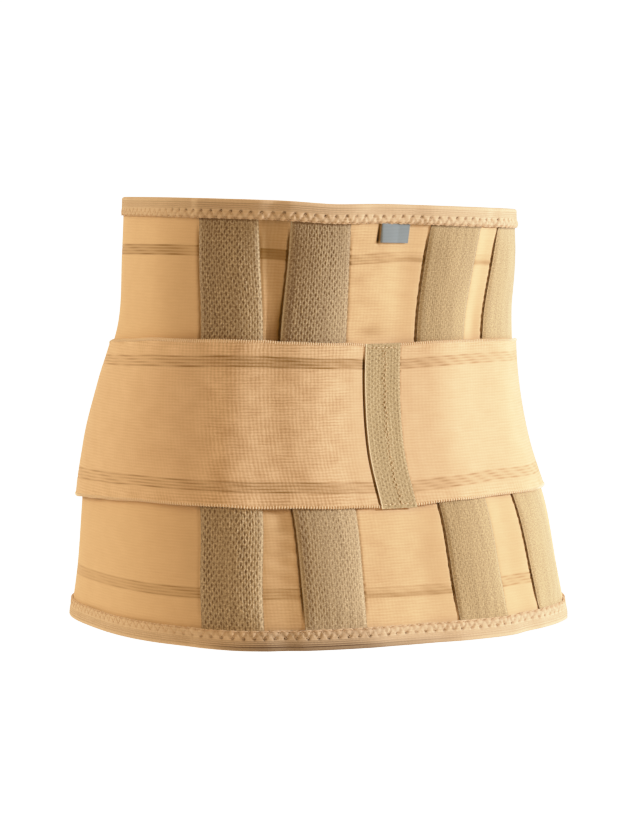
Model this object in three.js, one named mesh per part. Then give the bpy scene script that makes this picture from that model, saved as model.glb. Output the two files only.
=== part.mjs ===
// Elastic support belt in its worn form: a tall woven elastic panel round the waist and hips,
// bound along both edges, with four stay channels at the back and a narrower band round the middle.
// Millimetres. Origin on the axis of the waist at the band's mid height.
// +Z is up, -Y is the wearer's back and +X the wearer's right.
import * as THREE from "three";

// Heights along the belt
const TOP_EDGE = 136;
const BOTTOM_EDGE = -134;
const BAND_HALF_HEIGHT = 50;
const BINDING_LEG = 11;
const STRIP_HALF_HEIGHT = 51;
const CLOSURE_HALF_HEIGHT = 112;

// Widths along the girth
const CHANNEL_WIDTH = 39;
const STRIP_HALF_WIDTH = 12.2;
const END_GAP = 4;
const CLOSURE_HALF_WIDTH = 45;
const BAND_END_SETBACK = 22;
const END_CORNER = 12;

// Thicknesses, and the seat left between two layers of cloth
const SEAT = 0.3;
const PANEL_THICK = 2;
const CHANNEL_THICK = 1.2;
const CHANNEL_CROWN = 1.8;
const BAND_THICK = 1.6;
const BINDING_THICK = 1;
const STRIP_THICK = 1.2;
const LABEL_THICK = 0.9;
const CLOSURE_THICK = 2;

// The elastic sinks a little between the channels
const CENTRE_HOLLOW = 1.2;
const SIDE_HOLLOW = 1;

// The band's edges wander: up over the left channels, down at the back centre and round the two sides.
// Each row is a station and how far the upper and the lower edge lie above their straight lines there.
const EDGE_WANDER = [
  [-5, 0, 0],
  [-4.84, -2, 0],
  [-4.6, -5, -3],
  [-4.48, -3.6, -4.4],
  [-4.36, -0.8, -2.2],
  [-4.28, 0.4, -0.8],
  [-4.13, 2.8, 1.3],
  [-3.7, 3.3, 1.2],
  [-3, 2.7, 0],
  [-2, 1.7, 0],
  [-1.2, 0.3, -1],
  [0, -1.6, -2.2],
  [1.5, 0.2, 0.5],
  [2.5, 0, 1.2],
  [3.2, -0.3, 1.2],
  [4, -1.8, 1.2],
  [4.18, -5, 0.6],
  [4.6, -3, 0],
  [5, 0, 0],
];
const EDGE_FLARE = 2.2;
const STRIP_SAG = 1.6;

// The top edge leans: it drops by this much for each millimetre towards +X, and dips left of the back centre
const TOP_LEAN = -0.034;
const LEAN_START = 60;
const LEAN_FULL = 105;
const TOP_DIP = 1.3;
const DIP_X = -40;
const DIP_SPREAD = 22;

// The bottom edge lies higher by this much round the two sides
const SIDE_LIFT = 1.4;

// Label: its two sides along the girth, its height and how far its free corner lifts
const LABEL_LEFT = -7;
const LABEL_RIGHT = 13;
const LABEL_HEIGHT = 12;
const LABEL_LIFT = 0.8;

// Cross-sections of the worn belt's outer face, evenly spaced in level.
// halfWidth is along X; back and front are depths from the line y = sideY, where the belt is widest.
// centreGap lies between the two inner channels, whose knitted tape is stretched to the widths tapeLeft
// and tapeRight; gapLeft and gapRight lie between an inner channel and an outer one.
const ROUNDNESS = 2.66;
const SECTION_COLUMNS = ["level", "halfWidth", "back", "front", "sideY",
  "centreGap", "tapeLeft", "gapLeft", "tapeRight", "gapRight"];
const SECTIONS = [
  [-140, 160, 152, 117, -2, 67, 39, 26, 38, 31],
  [-100, 155, 141, 110, -1, 63, 39.5, 24.5, 37.5, 30.5],
  [-60, 151, 133, 104, 3, 60, 40.2, 19.8, 36.5, 27.5],
  [-20, 145, 122, 95, 13, 55, 41.5, 14.5, 36.5, 22.5],
  [20, 137, 111, 87, 9, 52, 42.2, 11.8, 36.5, 18.5],
  [60, 130, 101, 81, -3, 50, 42.5, 11.5, 36.7, 17.3],
  [100, 128, 105, 83, -6, 53, 39.5, 17.5, 39, 18],
  [140, 124, 119, 85, -2, 59, 37.5, 21.5, 41.5, 19.5],
].map((row) => Object.fromEntries(row.map((value, i) => [SECTION_COLUMNS[i], value])));

// Levels at which the cloth is divided, shared by the layers so that their facets nest
const BAND_LEVELS = [-50, -25, 0, 25, 50];
const CHANNEL_LEVELS = [-130, -122, -108, -90, -70, ...BAND_LEVELS, 70, 90, 110, 124, 132];
const PANEL_LEVELS = [-134, -122, -108, -90, -70, ...BAND_LEVELS, 70, 90, 110, 124, 136];

// Stations along the girth: whole numbers are the channel edges counted from the back centre,
// and 5 is the panel's end at the front
const BACK_STATIONS = [0, 0.25, 0.5, 0.78, 1, 1.25, 1.5, 1.75, 2, 2.25, 2.5, 2.75, 3, 3.25, 3.5, 3.75, 4];
const SIDE_STATIONS = [4.025, 4.06, 4.12, 4.18, 4.24, 4.3, 4.36, 4.42, 4.48, 4.54, 4.6, 4.66, 4.72,
  4.78, 4.83, 4.88, 4.92, 4.96, 5];

const smooth = THREE.MathUtils.smoothstep;
const lerp = THREE.MathUtils.lerp;

// A row of the section table at any level, every column joined by a Catmull-Rom curve
function sectionAt(level) {
  const step = SECTIONS[1].level - SECTIONS[0].level;
  const place = THREE.MathUtils.clamp((level - SECTIONS[0].level) / step, 0, SECTIONS.length - 1.001);
  const k = Math.floor(place);
  const t = place - k;
  const row = {};
  for (const name of Object.keys(SECTIONS[0])) {
    const p1 = SECTIONS[k][name];
    const p2 = SECTIONS[k + 1][name];
    const p0 = k > 0 ? SECTIONS[k - 1][name] : 2 * p1 - p2;
    const p3 = k + 2 < SECTIONS.length ? SECTIONS[k + 2][name] : 2 * p2 - p1;
    row[name] = p1 + 0.5 * t * (p2 - p0 + t * (2 * p0 - 5 * p1 + 4 * p2 - p3
      + t * (3 * (p1 - p2) + p3 - p0)));
  }
  return row;
}

// Half of the outline at a level, from the back centre round the +X side to the front centre,
// with the length along it and the station arcs
const outlines = new Map();
function outlineAt(level) {
  if (outlines.has(level)) {
    return outlines.get(level);
  }
  const row = sectionAt(level);
  const power = 2 / ROUNDNESS;
  const steps = 360;
  const points = [];
  const lengths = [0];
  for (let i = 0; i <= steps; i += 1) {
    const turn = Math.PI * i / steps;
    const c = Math.cos(turn);
    const x = row.halfWidth * Math.abs(Math.sin(turn)) ** power;
    const y = row.sideY - (c > 0 ? row.back : row.front) * Math.sign(c) * Math.abs(c) ** power;
    points.push(new THREE.Vector2(x, y));
    if (i > 0) {
      lengths.push(lengths[i - 1] + points[i].distanceTo(points[i - 1]));
    }
  }
  const half = lengths[steps];
  const stationArcs = (tape, gap) => {
    const inner = row.centreGap / 2;
    const outer = inner + tape + gap;
    return [0, inner, inner + tape, outer, outer + CHANNEL_WIDTH, half - END_GAP / 2, half];
  };
  const left = stationArcs(row.tapeLeft, row.gapLeft);
  const right = stationArcs(row.tapeRight, row.gapRight);
  const outline = { points, lengths, half, left, right };
  outlines.set(level, outline);
  return outline;
}

// Point of the half outline at a length along it; lengths past either end mirror
function outlinePoint(outline, arc) {
  let side = 1;
  let length = arc;
  if (length < 0) {
    length = -length;
    side = -1;
  }
  if (length > outline.half) {
    length = 2 * outline.half - length;
    side = -side;
  }
  let low = 0;
  let high = outline.lengths.length - 1;
  while (high - low > 1) {
    const middle = (low + high) >> 1;
    if (outline.lengths[middle] <= length) {
      low = middle;
    } else {
      high = middle;
    }
  }
  const t = (length - outline.lengths[low]) / (outline.lengths[high] - outline.lengths[low]);
  const point = outline.points[low].clone().lerp(outline.points[high], t);
  point.x *= side;
  return point;
}

// Length along the girth of a signed station, and the station of a length
function arcAt(station, level) {
  const arcs = outlineAt(level)[station < 0 ? "left" : "right"];
  const size = Math.abs(station);
  const k = Math.min(Math.floor(size), arcs.length - 2);
  return Math.sign(station) * lerp(arcs[k], arcs[k + 1], size - k);
}

function stationAt(arc, level) {
  const arcs = outlineAt(level)[arc < 0 ? "left" : "right"];
  const size = Math.abs(arc);
  let k = 0;
  while (k < arcs.length - 2 && size > arcs[k + 1]) {
    k += 1;
  }
  return Math.sign(arc) * (k + (size - arcs[k]) / (arcs[k + 1] - arcs[k]));
}

// Point in space: a length along the girth, a level and an offset outwards from the panel's outer face
function onBelt(arc, level, offset) {
  const outline = outlineAt(level);
  const here = outlinePoint(outline, arc);
  const ahead = outlinePoint(outline, arc + 1.5);
  const behind = outlinePoint(outline, arc - 1.5);
  const along = ahead.sub(behind).normalize();
  const x = here.x + offset * along.y;
  const y = here.y - offset * along.x;
  const dip = TOP_DIP * Math.exp(-(((here.x - DIP_X) / DIP_SPREAD) ** 2));
  const lean = (TOP_LEAN * here.x - dip) * smooth(level, LEAN_START, LEAN_FULL);
  const lift = SIDE_LIFT * smooth(Math.abs(here.x + 20), 85, 125) * (1 - smooth(level, BOTTOM_EDGE, -100));
  return [x, y, level + lean + lift];
}

// A closed sheet: the same grid of columns by rows on its outer and its inner face, joined round the rim.
// Columns run towards +X at the back; rows run upwards on the face that looks outwards.
function sheet(columns, rows, pointAt) {
  const positions = [];
  const index = [];
  const nc = columns.length;
  const nr = rows.length;
  for (const face of ["outer", "inner"]) {
    for (const column of columns) {
      for (const row of rows) {
        positions.push(...pointAt(column, row, face));
      }
    }
  }
  const at = (i, j, inner) => (inner * nc + i) * nr + j;
  const quad = (a, b, c, d) => index.push(a, b, c, a, c, d);
  for (let i = 0; i + 1 < nc; i += 1) {
    for (let j = 0; j + 1 < nr; j += 1) {
      quad(at(i, j, 0), at(i + 1, j, 0), at(i + 1, j + 1, 0), at(i, j + 1, 0));
      quad(at(i, j, 1), at(i, j + 1, 1), at(i + 1, j + 1, 1), at(i + 1, j, 1));
    }
    quad(at(i, 0, 0), at(i, 0, 1), at(i + 1, 0, 1), at(i + 1, 0, 0));
    quad(at(i, nr - 1, 0), at(i + 1, nr - 1, 0), at(i + 1, nr - 1, 1), at(i, nr - 1, 1));
  }
  for (let j = 0; j + 1 < nr; j += 1) {
    quad(at(0, j, 0), at(0, j + 1, 0), at(0, j + 1, 1), at(0, j, 1));
    quad(at(nc - 1, j, 0), at(nc - 1, j, 1), at(nc - 1, j + 1, 1), at(nc - 1, j + 1, 0));
  }
  const geometry = new THREE.BufferGeometry();
  geometry.setAttribute("position", new THREE.Float32BufferAttribute(positions, 3));
  geometry.setIndex(index);
  geometry.computeVertexNormals();
  return geometry;
}

// The full girth from one front end to the other
function bothWays(stations) {
  const left = stations.filter((s) => s > 0).map((s) => -s).reverse();
  return [...left, ...stations];
}

// Share of the way across a channel, or -1 off the channels
function acrossChannel(station) {
  const size = Math.abs(station);
  const onChannel = (size >= 1 && size <= 2) || (size >= 3 && size <= 4);
  return onChannel ? size - Math.floor(Math.min(size, size < 2.5 ? 1 : 3)) : -1;
}

// Panel: sinks between the channels and lies smooth round the sides
function panelFace(station) {
  const size = Math.abs(station);
  if (size < 1) {
    return -CENTRE_HOLLOW * Math.cos(Math.PI * size / 2) ** 2;
  }
  if (size > 2 && size < 3) {
    return -SIDE_HOLLOW * Math.sin(Math.PI * (size - 2)) ** 2;
  }
  return 0;
}

// Channel: flat at its two sewn edges, crowned over the stay, pressed flat under the bindings
function channelFace(station, level) {
  const across = Math.max(acrossChannel(station), 0);
  const pressed = smooth(level, -122, -108) * (1 - smooth(level, 110, 124));
  return SEAT + CHANNEL_THICK + CHANNEL_CROWN * Math.sin(Math.PI * across) * pressed;
}

// Binding: lies on the panel and steps over the channels' ends
function bindingSeat(station) {
  const size = Math.abs(station);
  const overChannels = smooth(size, 0.5, 1) * (1 - smooth(size, 4, 4.025));
  const between = smooth(size, 2, 2.25) * (1 - smooth(size, 2.75, 3));
  return SEAT + (CHANNEL_THICK + SEAT) * overChannels * (1 - between);
}

// Band: stretched over the channels, sewn down at the back centre, and over the closure at the front
function bandSeat(station, level) {
  const size = Math.abs(station);
  const edge = SEAT + CHANNEL_THICK + SEAT;
  if (acrossChannel(station) >= 0) {
    return channelFace(station, level) + SEAT;
  }
  if (size < 1) {
    return lerp(SEAT, edge, smooth(size, 0.3, 1));
  }
  if (size < 3) {
    return edge - 0.4 * Math.sin(Math.PI * (size - 2));
  }
  const { half } = outlineAt(level);
  const toFront = half - Math.abs(arcAt(station, level));
  const overClosure = 1 - smooth(toFront, CLOSURE_HALF_WIDTH + 3, CLOSURE_HALF_WIDTH + 22);
  return lerp(edge, 2 * SEAT, smooth(size, 4, 4.12)) + (CLOSURE_THICK + SEAT) * overClosure;
}

function bandFace(station, level) {
  return bandSeat(station, level) + BAND_THICK;
}

// Level of the band's rows: the two edge rows wander, eased between the rows of the table
function bandEdge(station, row) {
  if (Math.abs(row) < BAND_HALF_HEIGHT) {
    return row;
  }
  const column = row > 0 ? 1 : 2;
  const k = Math.max(EDGE_WANDER.findIndex((entry) => entry[0] >= station), 1);
  const before = EDGE_WANDER[k - 1];
  const after = EDGE_WANDER[k];
  return row + lerp(before[column], after[column], smooth(station, before[0], after[0]));
}

// The slack lower edge stands off the belt at the left side
function bandFlare(station, row) {
  const atSide = smooth(-station, 4.2, 4.42) * (1 - smooth(-station, 4.6, 4.8));
  return row === -BAND_HALF_HEIGHT ? EDGE_FLARE * atSide : 0;
}

// How far a rounded corner cuts in from the edge, at a distance from the end
function cornerCut(distance) {
  const inside = Math.max(END_CORNER - distance, 0);
  return END_CORNER - Math.sqrt(END_CORNER ** 2 - inside ** 2);
}

function panelGeometry() {
  const columns = bothWays([...BACK_STATIONS, ...SIDE_STATIONS]);
  return sheet(columns, PANEL_LEVELS, (station, level, face) => {
    const offset = face === "outer" ? panelFace(station) : -PANEL_THICK + panelFace(station);
    return onBelt(arcAt(station, level), level, offset);
  });
}

// Folded tape over a long edge; rows run along the fold's section from leg to leg
function bindingGeometry(edge, up) {
  const free = edge - up * BINDING_LEG;
  const fold = edge + up * SEAT;
  const rows = [
    { across: 0, crest: 0, level: free },
    { across: 0, crest: 0, level: fold },
    { across: 0.28, crest: 1, level: fold },
    { across: 0.72, crest: 1, level: fold },
    { across: 1, crest: 0, level: fold },
    { across: 1, crest: 0, level: free },
  ];
  if (up < 0) {
    rows.reverse();
  }
  const columns = bothWays([...BACK_STATIONS, ...SIDE_STATIONS]);
  return sheet(columns, rows, (station, row, face) => {
    const grown = face === "outer" ? BINDING_THICK : 0;
    const near = bindingSeat(station) + grown;
    const far = panelFace(station) - PANEL_THICK - SEAT - grown;
    const level = row.level + up * row.crest * grown;
    return onBelt(arcAt(station, row.level), level, lerp(near, far, row.across));
  });
}

function channelGeometry(side, first) {
  const columns = [];
  for (let i = 0; i <= 4; i += 1) {
    columns.push(side > 0 ? first + i / 4 : -(first + 1 - i / 4));
  }
  return sheet(columns, CHANNEL_LEVELS, (station, level, face) => {
    const offset = face === "outer" ? channelFace(station, level) : SEAT;
    return onBelt(arcAt(station, level), level, offset);
  });
}

// The band's columns go by station at the back and sides, then by distance from its own end
function bandGeometry() {
  const endSteps = [17, 12, 8, 4.5, 2, 0.6, 0];
  const columns = [];
  for (const station of [...BACK_STATIONS, ...SIDE_STATIONS.filter((s) => s < 4.85)]) {
    columns.push({ station, toEnd: END_CORNER });
  }
  for (const toEnd of endSteps) {
    columns.push({ station: 5, toEnd });
  }
  const mirrored = columns.filter((c) => c.station > 0).map((c) => ({ ...c, station: -c.station }));
  return sheet([...mirrored.reverse(), ...columns], BAND_LEVELS, (column, row, face) => {
    const level = bandEdge(column.station, row) * (1 - cornerCut(column.toEnd) / BAND_HALF_HEIGHT);
    const side = Math.sign(column.station);
    const atEnd = Math.abs(column.station) === 5;
    const end = outlineAt(level).half - BAND_END_SETBACK;
    const arc = atEnd ? side * (end - column.toEnd) : arcAt(column.station, level);
    const station = stationAt(arc, level);
    const seat = bandSeat(station, level) + bandFlare(station, row);
    return onBelt(arc, level, face === "outer" ? seat + BAND_THICK : seat);
  });
}

function stripGeometry() {
  const columns = [-1, -0.5, 0, 0.5, 1].map((share) => share * STRIP_HALF_WIDTH);
  const rows = [-STRIP_HALF_HEIGHT - STRIP_SAG, -25, 0, 25, STRIP_HALF_HEIGHT - STRIP_SAG];
  return sheet(columns, rows, (arc, level, face) => {
    const seat = bandFace(stationAt(arc, level), level) + SEAT;
    return onBelt(arc, level, face === "outer" ? seat + STRIP_THICK : seat);
  });
}

// Tab sewn at its top edge under the binding; its lower left corner stands off
function labelGeometry() {
  const top = TOP_EDGE - BINDING_LEG - SEAT;
  const columns = [0, 0.25, 0.5, 0.75, 1];
  const rows = [0, 0.5, 1];
  return sheet(columns, rows, (across, up, face) => {
    const arc = lerp(LABEL_LEFT, LABEL_RIGHT, across);
    const level = top - LABEL_HEIGHT * (1 - up);
    const lift = LABEL_LIFT * (1 - across) * (1 - 0.6 * up);
    const seat = panelFace(stationAt(arc, level)) + SEAT + lift;
    return onBelt(arc, level, face === "outer" ? seat + LABEL_THICK : seat);
  });
}

// Plain panel across the meeting ends of the belt at the front
function closureGeometry() {
  const inFromEdge = [0, 0.6, 2, 4.5, 8, 12, 20, 28, 36];
  const columns = [];
  for (const inset of inFromEdge) {
    columns.push({ across: inset - CLOSURE_HALF_WIDTH, inset });
  }
  columns.push({ across: 0, inset: END_CORNER });
  for (const inset of [...inFromEdge].reverse()) {
    columns.push({ across: CLOSURE_HALF_WIDTH - inset, inset });
  }
  const between = PANEL_LEVELS.filter((level) => Math.abs(level) < CLOSURE_HALF_HEIGHT - END_CORNER);
  const rows = [-CLOSURE_HALF_HEIGHT, ...between, CLOSURE_HALF_HEIGHT];
  return sheet(columns, rows, (column, row, face) => {
    const atEnd = Math.abs(row) === CLOSURE_HALF_HEIGHT;
    const level = atEnd ? row - Math.sign(row) * cornerCut(column.inset) : row;
    const arc = outlineAt(level).half + column.across;
    return onBelt(arc, level, face === "outer" ? SEAT + CLOSURE_THICK : SEAT);
  });
}

// Colours of the cloths
const ELASTIC = 0xdfb27c;
const TAPE = 0xb0915f;
const BINDING = 0xd2a874;
const VELOUR = 0xc79f6c;
const GREY_CLOTH = 0x979b96;

const belt = new THREE.Group();
belt.name = "elastic_support_belt";

function add(name, geometry, color) {
  const material = new THREE.MeshStandardMaterial({ color, roughness: 0.9 });
  const mesh = new THREE.Mesh(geometry, material);
  mesh.name = name;
  belt.add(mesh);
}

add("belt_body", panelGeometry(), ELASTIC);
add("top_binding", bindingGeometry(TOP_EDGE, 1), BINDING);
add("bottom_binding", bindingGeometry(BOTTOM_EDGE, -1), BINDING);
add("stay_channel_left_outer", channelGeometry(-1, 3), TAPE);
add("stay_channel_left_inner", channelGeometry(-1, 1), TAPE);
add("stay_channel_right_inner", channelGeometry(1, 1), TAPE);
add("stay_channel_right_outer", channelGeometry(1, 3), TAPE);
add("outer_band", bandGeometry(), ELASTIC);
add("centre_strip", stripGeometry(), TAPE);
add("label", labelGeometry(), GREY_CLOTH);
add("front_closure", closureGeometry(), VELOUR);

export default belt;
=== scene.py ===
# %% [markdown]
# # Elastic support belt
# A tall woven elastic belt for the lower back, kept in the round form that it has when worn.
# Every cloth piece here is a grid of points laid on one shared belt surface, so the layers lie on each
# other without fitting: a place on the belt is a length along the girth, a height and an offset outwards.
# Sizes are in millimetres and turn into metres only where a mesh is made.

import bpy
import numpy as np
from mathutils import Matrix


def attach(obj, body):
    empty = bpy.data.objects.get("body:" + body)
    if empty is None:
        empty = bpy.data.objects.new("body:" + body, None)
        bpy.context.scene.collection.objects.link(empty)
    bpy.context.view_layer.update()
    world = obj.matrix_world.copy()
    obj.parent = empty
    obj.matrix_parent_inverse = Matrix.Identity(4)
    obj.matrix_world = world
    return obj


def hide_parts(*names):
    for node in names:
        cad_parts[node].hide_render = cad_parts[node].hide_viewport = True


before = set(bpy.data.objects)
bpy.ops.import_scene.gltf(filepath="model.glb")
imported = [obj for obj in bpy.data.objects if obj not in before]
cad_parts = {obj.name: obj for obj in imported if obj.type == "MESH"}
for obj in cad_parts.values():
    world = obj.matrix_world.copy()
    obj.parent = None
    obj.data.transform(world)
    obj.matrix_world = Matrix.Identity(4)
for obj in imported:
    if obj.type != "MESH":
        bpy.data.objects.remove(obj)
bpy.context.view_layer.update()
MM = 0.001

# %% [markdown]
# ## The worn form
# On the body the belt is narrow at the waist and flares to the hips, and its back hollows with the spine.
# It could be sculpted, but a short table of cross-sections is easier to read and to change. Each row is a
# rounded oval: its half width, its depth to the back and to the front of the widest line, where that line
# lies, the widths that the two inner tapes are stretched to, and the gaps between the sewn tapes, which
# open as the elastic stretches over the hips.

# %% Cross-sections of the belt's outer face
COLUMNS = (
    "half_width", "back", "front", "side_y", "centre_gap", "tape_left", "gap_left", "tape_right", "gap_right")
FIRST_LEVEL = -140
LEVEL_STEP = 40
SECTIONS = np.array([
    (160, 152, 117, -2, 67, 39, 26, 38, 31),
    (155, 141, 110, -1, 63, 39.5, 24.5, 37.5, 30.5),
    (151, 133, 104, 3, 60, 40.2, 19.8, 36.5, 27.5),
    (145, 122, 95, 13, 55, 41.5, 14.5, 36.5, 22.5),
    (137, 111, 87, 9, 52, 42.2, 11.8, 36.5, 18.5),
    (130, 101, 81, -3, 50, 42.5, 11.5, 36.7, 17.3),
    (128, 105, 83, -6, 53, 39.5, 17.5, 39, 18),
    (124, 119, 85, -2, 59, 37.5, 21.5, 41.5, 19.5),
], float)
ROUNDNESS = 2.66
TOP_EDGE, BOTTOM_EDGE = 136, -134
TOP_LEAN = -0.034
TOP_DIP, DIP_X, DIP_SPREAD = 1.3, -40, 22
SIDE_LIFT = 1.4


def smooth(x, low, high):
    """0 up to low and 1 from high on, eased between."""
    t = np.clip((x - low) / (high - low), 0, 1)
    return t * t * (3 - 2 * t)


def stretch(x, rise, full, fade, end):
    """1 from full to fade, easing to 0 at rise and at end."""
    return smooth(x, rise, full) * (1 - smooth(x, fade, end))


def hump(x, width):
    """1 at zero, easing away to either side."""
    return np.exp(-(x / width) ** 2)


def wave(x, pitch):
    """A wave from -1 to 1 that repeats each pitch."""
    return np.sin(2 * np.pi * x / pitch)


def section(level):
    """Each column of the table at the given levels, joined by a Catmull-Rom curve."""
    place = np.clip((np.asarray(level, float) - FIRST_LEVEL) / LEVEL_STEP, 0, len(SECTIONS) - 1.001)
    k = place.astype(int)
    t = (place - k)[..., None]
    rows = np.vstack([2 * SECTIONS[0] - SECTIONS[1], SECTIONS, 2 * SECTIONS[-1] - SECTIONS[-2]])
    p0, p1, p2, p3 = rows[k], rows[k + 1], rows[k + 2], rows[k + 3]
    bend = 2 * p0 - 5 * p1 + 4 * p2 - p3 + t * (3 * (p1 - p2) + p3 - p0)
    values = p1 + 0.5 * t * (p2 - p0 + t * bend)
    return {name: values[..., i] for i, name in enumerate(COLUMNS)}


print("waist", {name: round(float(value)) for name, value in section(20).items()})

# %% [markdown]
# ## A place on the belt
# Half of each oval is measured out once, from the back centre round to the front, so that a length along
# the girth can be looked up. The other half is its mirror image. The belt's top edge leans a little, and
# it dips to the left of the back centre.

# %% Measured half ovals
LEVELS = np.arange(-142.0, 143.0)
SHARES = np.linspace(0, 1, 1401)
turn = np.linspace(0, np.pi, 4001)
outline_x = np.empty((len(LEVELS), len(SHARES)))
outline_y = np.empty_like(outline_x)
half_girth = np.empty(len(LEVELS))
for row, level in enumerate(LEVELS):
    oval = section(level)
    depth = np.where(np.cos(turn) > 0, oval["back"], oval["front"])
    x = oval["half_width"] * np.abs(np.sin(turn)) ** (2 / ROUNDNESS)
    y = oval["side_y"] - depth * np.sign(np.cos(turn)) * np.abs(np.cos(turn)) ** (2 / ROUNDNESS)
    run = np.concatenate([[0], np.cumsum(np.hypot(np.diff(x), np.diff(y)))])
    half_girth[row] = run[-1]
    outline_x[row] = np.interp(SHARES * run[-1], run, x)
    outline_y[row] = np.interp(SHARES * run[-1], run, y)


def half_at(level):
    """Half of the girth at a level."""
    return np.interp(level, LEVELS, half_girth)


print("girth at the waist", round(2 * half_girth.min()), "mm")
print("girth at the lower edge", round(2 * half_at(BOTTOM_EDGE)), "mm")


def oval_point(arc, level):
    """Place in plan at a length along the girth, read between the measured points."""
    share = arc / half_at(level)
    side = np.sign(share)
    share = np.abs(share)
    side = np.where(share > 1, -side, side)
    share = np.where(share > 1, 2 - share, share)
    across = np.clip(share, 0, 1) * (len(SHARES) - 1.0001)
    up = np.clip(level - LEVELS[0], 0, len(LEVELS) - 1.0001)
    i, j = up.astype(int), across.astype(int)
    a, b = up - i, across - j
    weights = ((1 - a) * (1 - b), (1 - a) * b, a * (1 - b), a * b)
    corners = ((i, j), (i, j + 1), (i + 1, j), (i + 1, j + 1))
    x = sum(w * outline_x[c] for w, c in zip(weights, corners))
    y = sum(w * outline_y[c] for w, c in zip(weights, corners))
    return side * x, y


def on_belt(arc, level, offset):
    """Points in mm: a length along the girth, a level and an offset outwards from the belt's face."""
    arc, level, offset = np.broadcast_arrays(*(np.asarray(v, float) for v in (arc, level, offset)))
    x, y = oval_point(arc, level)
    ahead_x, ahead_y = oval_point(arc + 1.5, level)
    behind_x, behind_y = oval_point(arc - 1.5, level)
    along_x, along_y = ahead_x - behind_x, ahead_y - behind_y
    length = np.hypot(along_x, along_y)
    dip = TOP_DIP * hump(x - DIP_X, DIP_SPREAD)
    lean = (TOP_LEAN * x - dip) * smooth(level, 60, 105)
    lift = SIDE_LIFT * smooth(np.abs(x + 20), 85, 125) * (1 - smooth(level, BOTTOM_EDGE, -100))
    z = level + lean + lift
    return np.stack([x + offset * along_y / length, y - offset * along_x / length, z], axis=-1)


# %% [markdown]
# ## Stations
# The sewn tapes divide the girth. A station counts their edges from the back centre: 1 to 2 is the inner
# tape, 3 to 4 the outer one, 5 the belt's end at the front, and minus means the left side. Stations move
# with the cloth, so hollows and reliefs that are drawn by station stay with the tapes at every height.

# %% Lengths and stations
CHANNEL_WIDTH = 39
END_GAP = 4


def station_widths(level, side):
    """Widths of the five stretches from the back centre to the front, on one side."""
    oval = section(level)
    tape = np.where(side < 0, oval["tape_left"], oval["tape_right"])
    gap = np.where(side < 0, oval["gap_left"], oval["gap_right"])
    inner = oval["centre_gap"] / 2
    rest = half_at(level) - END_GAP / 2 - inner - tape - gap - CHANNEL_WIDTH
    return inner, tape, gap, CHANNEL_WIDTH + 0 * inner, rest


def arc_at(station, level):
    """Length along the girth at a station."""
    station, level = np.broadcast_arrays(np.asarray(station, float), np.asarray(level, float))
    widths = station_widths(level, station)
    size = np.abs(station)
    return np.sign(station) * sum(w * np.clip(size - k, 0, 1) for k, w in enumerate(widths))


def station_at(arc, level):
    """Station at a length along the girth."""
    arc, level = np.broadcast_arrays(np.asarray(arc, float), np.asarray(level, float))
    left = np.abs(arc)
    size = np.zeros_like(left)
    for width in station_widths(level, arc):
        size = size + np.clip(left / width, 0, 1)
        left = left - width
    return np.sign(arc) * size


def on_station(station, level, offset):
    """Points in mm, as on_belt gives them, at a station."""
    return on_belt(arc_at(station, level), level, offset)


def mirrored(half):
    """Stations of the right side, from 0 on, with those of the left side before them."""
    return np.concatenate([-half[:0:-1], half])


print("outer edge of the outer tapes", round(float(arc_at(4, 0))), "mm from the back centre")

# %% [markdown]
# ## How the layers lie
# The panel is the base, the tapes are sewn on it and crowned over their stays, the band is stretched over
# the tapes, and the bindings step over the tapes' ends. Between the tapes the elastic sinks. Small dents
# and ripples where the cloth is pinched are single bumps with a place, a spread and a depth.

# %% Hollows, ditches and dents of the panel
SEAT = 0.3
PANEL_THICK = 2
DITCH_WIDTH = 0.85
SEAM_STITCH = 4.4
# station of a tape's edge, how far outside it the ditch lies, its depth above the band and below it, and how
# far the stitches break it into dashes
# their depths also set how much painted shade the ditches get
DITCHES = (
    (-4, 1.4, 1, 0.3, 0), (-3, 0.4, 0.35, 0.05, 0.1), (-2, 0.4, 1.5, 1.5, 0.1), (-1, 0.4, 0.6, 0.6, 0.8),
    (1, 0.4, 1.5, 1.5, 0.3), (2, 0.4, 0.2, 0.2, 0.8), (3, 0.4, 1.3, 1.3, 0.45), (4, 0.4, 0.2, 0.2, 0),
)
LEFT_EDGES = (-4, -2, 1, 3)
BINDING_LEG = 11
LABEL_LEFT, LABEL_RIGHT = -7, 13
LABEL_TOP = TOP_EDGE - BINDING_LEG + 0.2
LABEL_HEIGHT = 12.3

# station, level, spread along the girth in stations, spread in height, depth
DENTS = (
    (-2.4, 58, 0.32, 9, 2.2),
    (-0.35, 58, 0.5, 7, 1.6),
    (2.5, 60, 0.3, 9, 1),
    (-2.5, -58, 0.3, 6, 0.8),
)
# station, level, spread along the girth, spread in height, distance between ripples, height
RIPPLES = (
    (-2.5, -82, 0.35, 16, 10, 0.7),
    (-0.75, -78, 0.3, 12, 9, 0.45),
    (0.3, 84, 0.5, 13, 9, 0.25),
    (2.5, -80, 0.35, 14, 9, 0.35),
)


def ditches(station, level):
    """Depth of the narrow valleys where the stitching pulls the panel in beside each tape."""
    arc = arc_at(station, level)
    depth = np.zeros(np.shape(arc))
    for edge, beside, above, below, dashed in DITCHES:
        deep = below + (above - below) * smooth(level, -60, 60)
        outside = -1 if edge in LEFT_EDGES else 1
        wobble = 0.12 * np.sin(2.1 * level + edge) + 0.1 * np.sin(0.9 * level)
        away = arc - arc_at(edge, level) - outside * (beside + wobble)
        dashes = 1 - dashed * (0.5 + 0.5 * wave(level, SEAM_STITCH))
        depth = depth + deep * dashes * hump(away, DITCH_WIDTH)
    return depth


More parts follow.
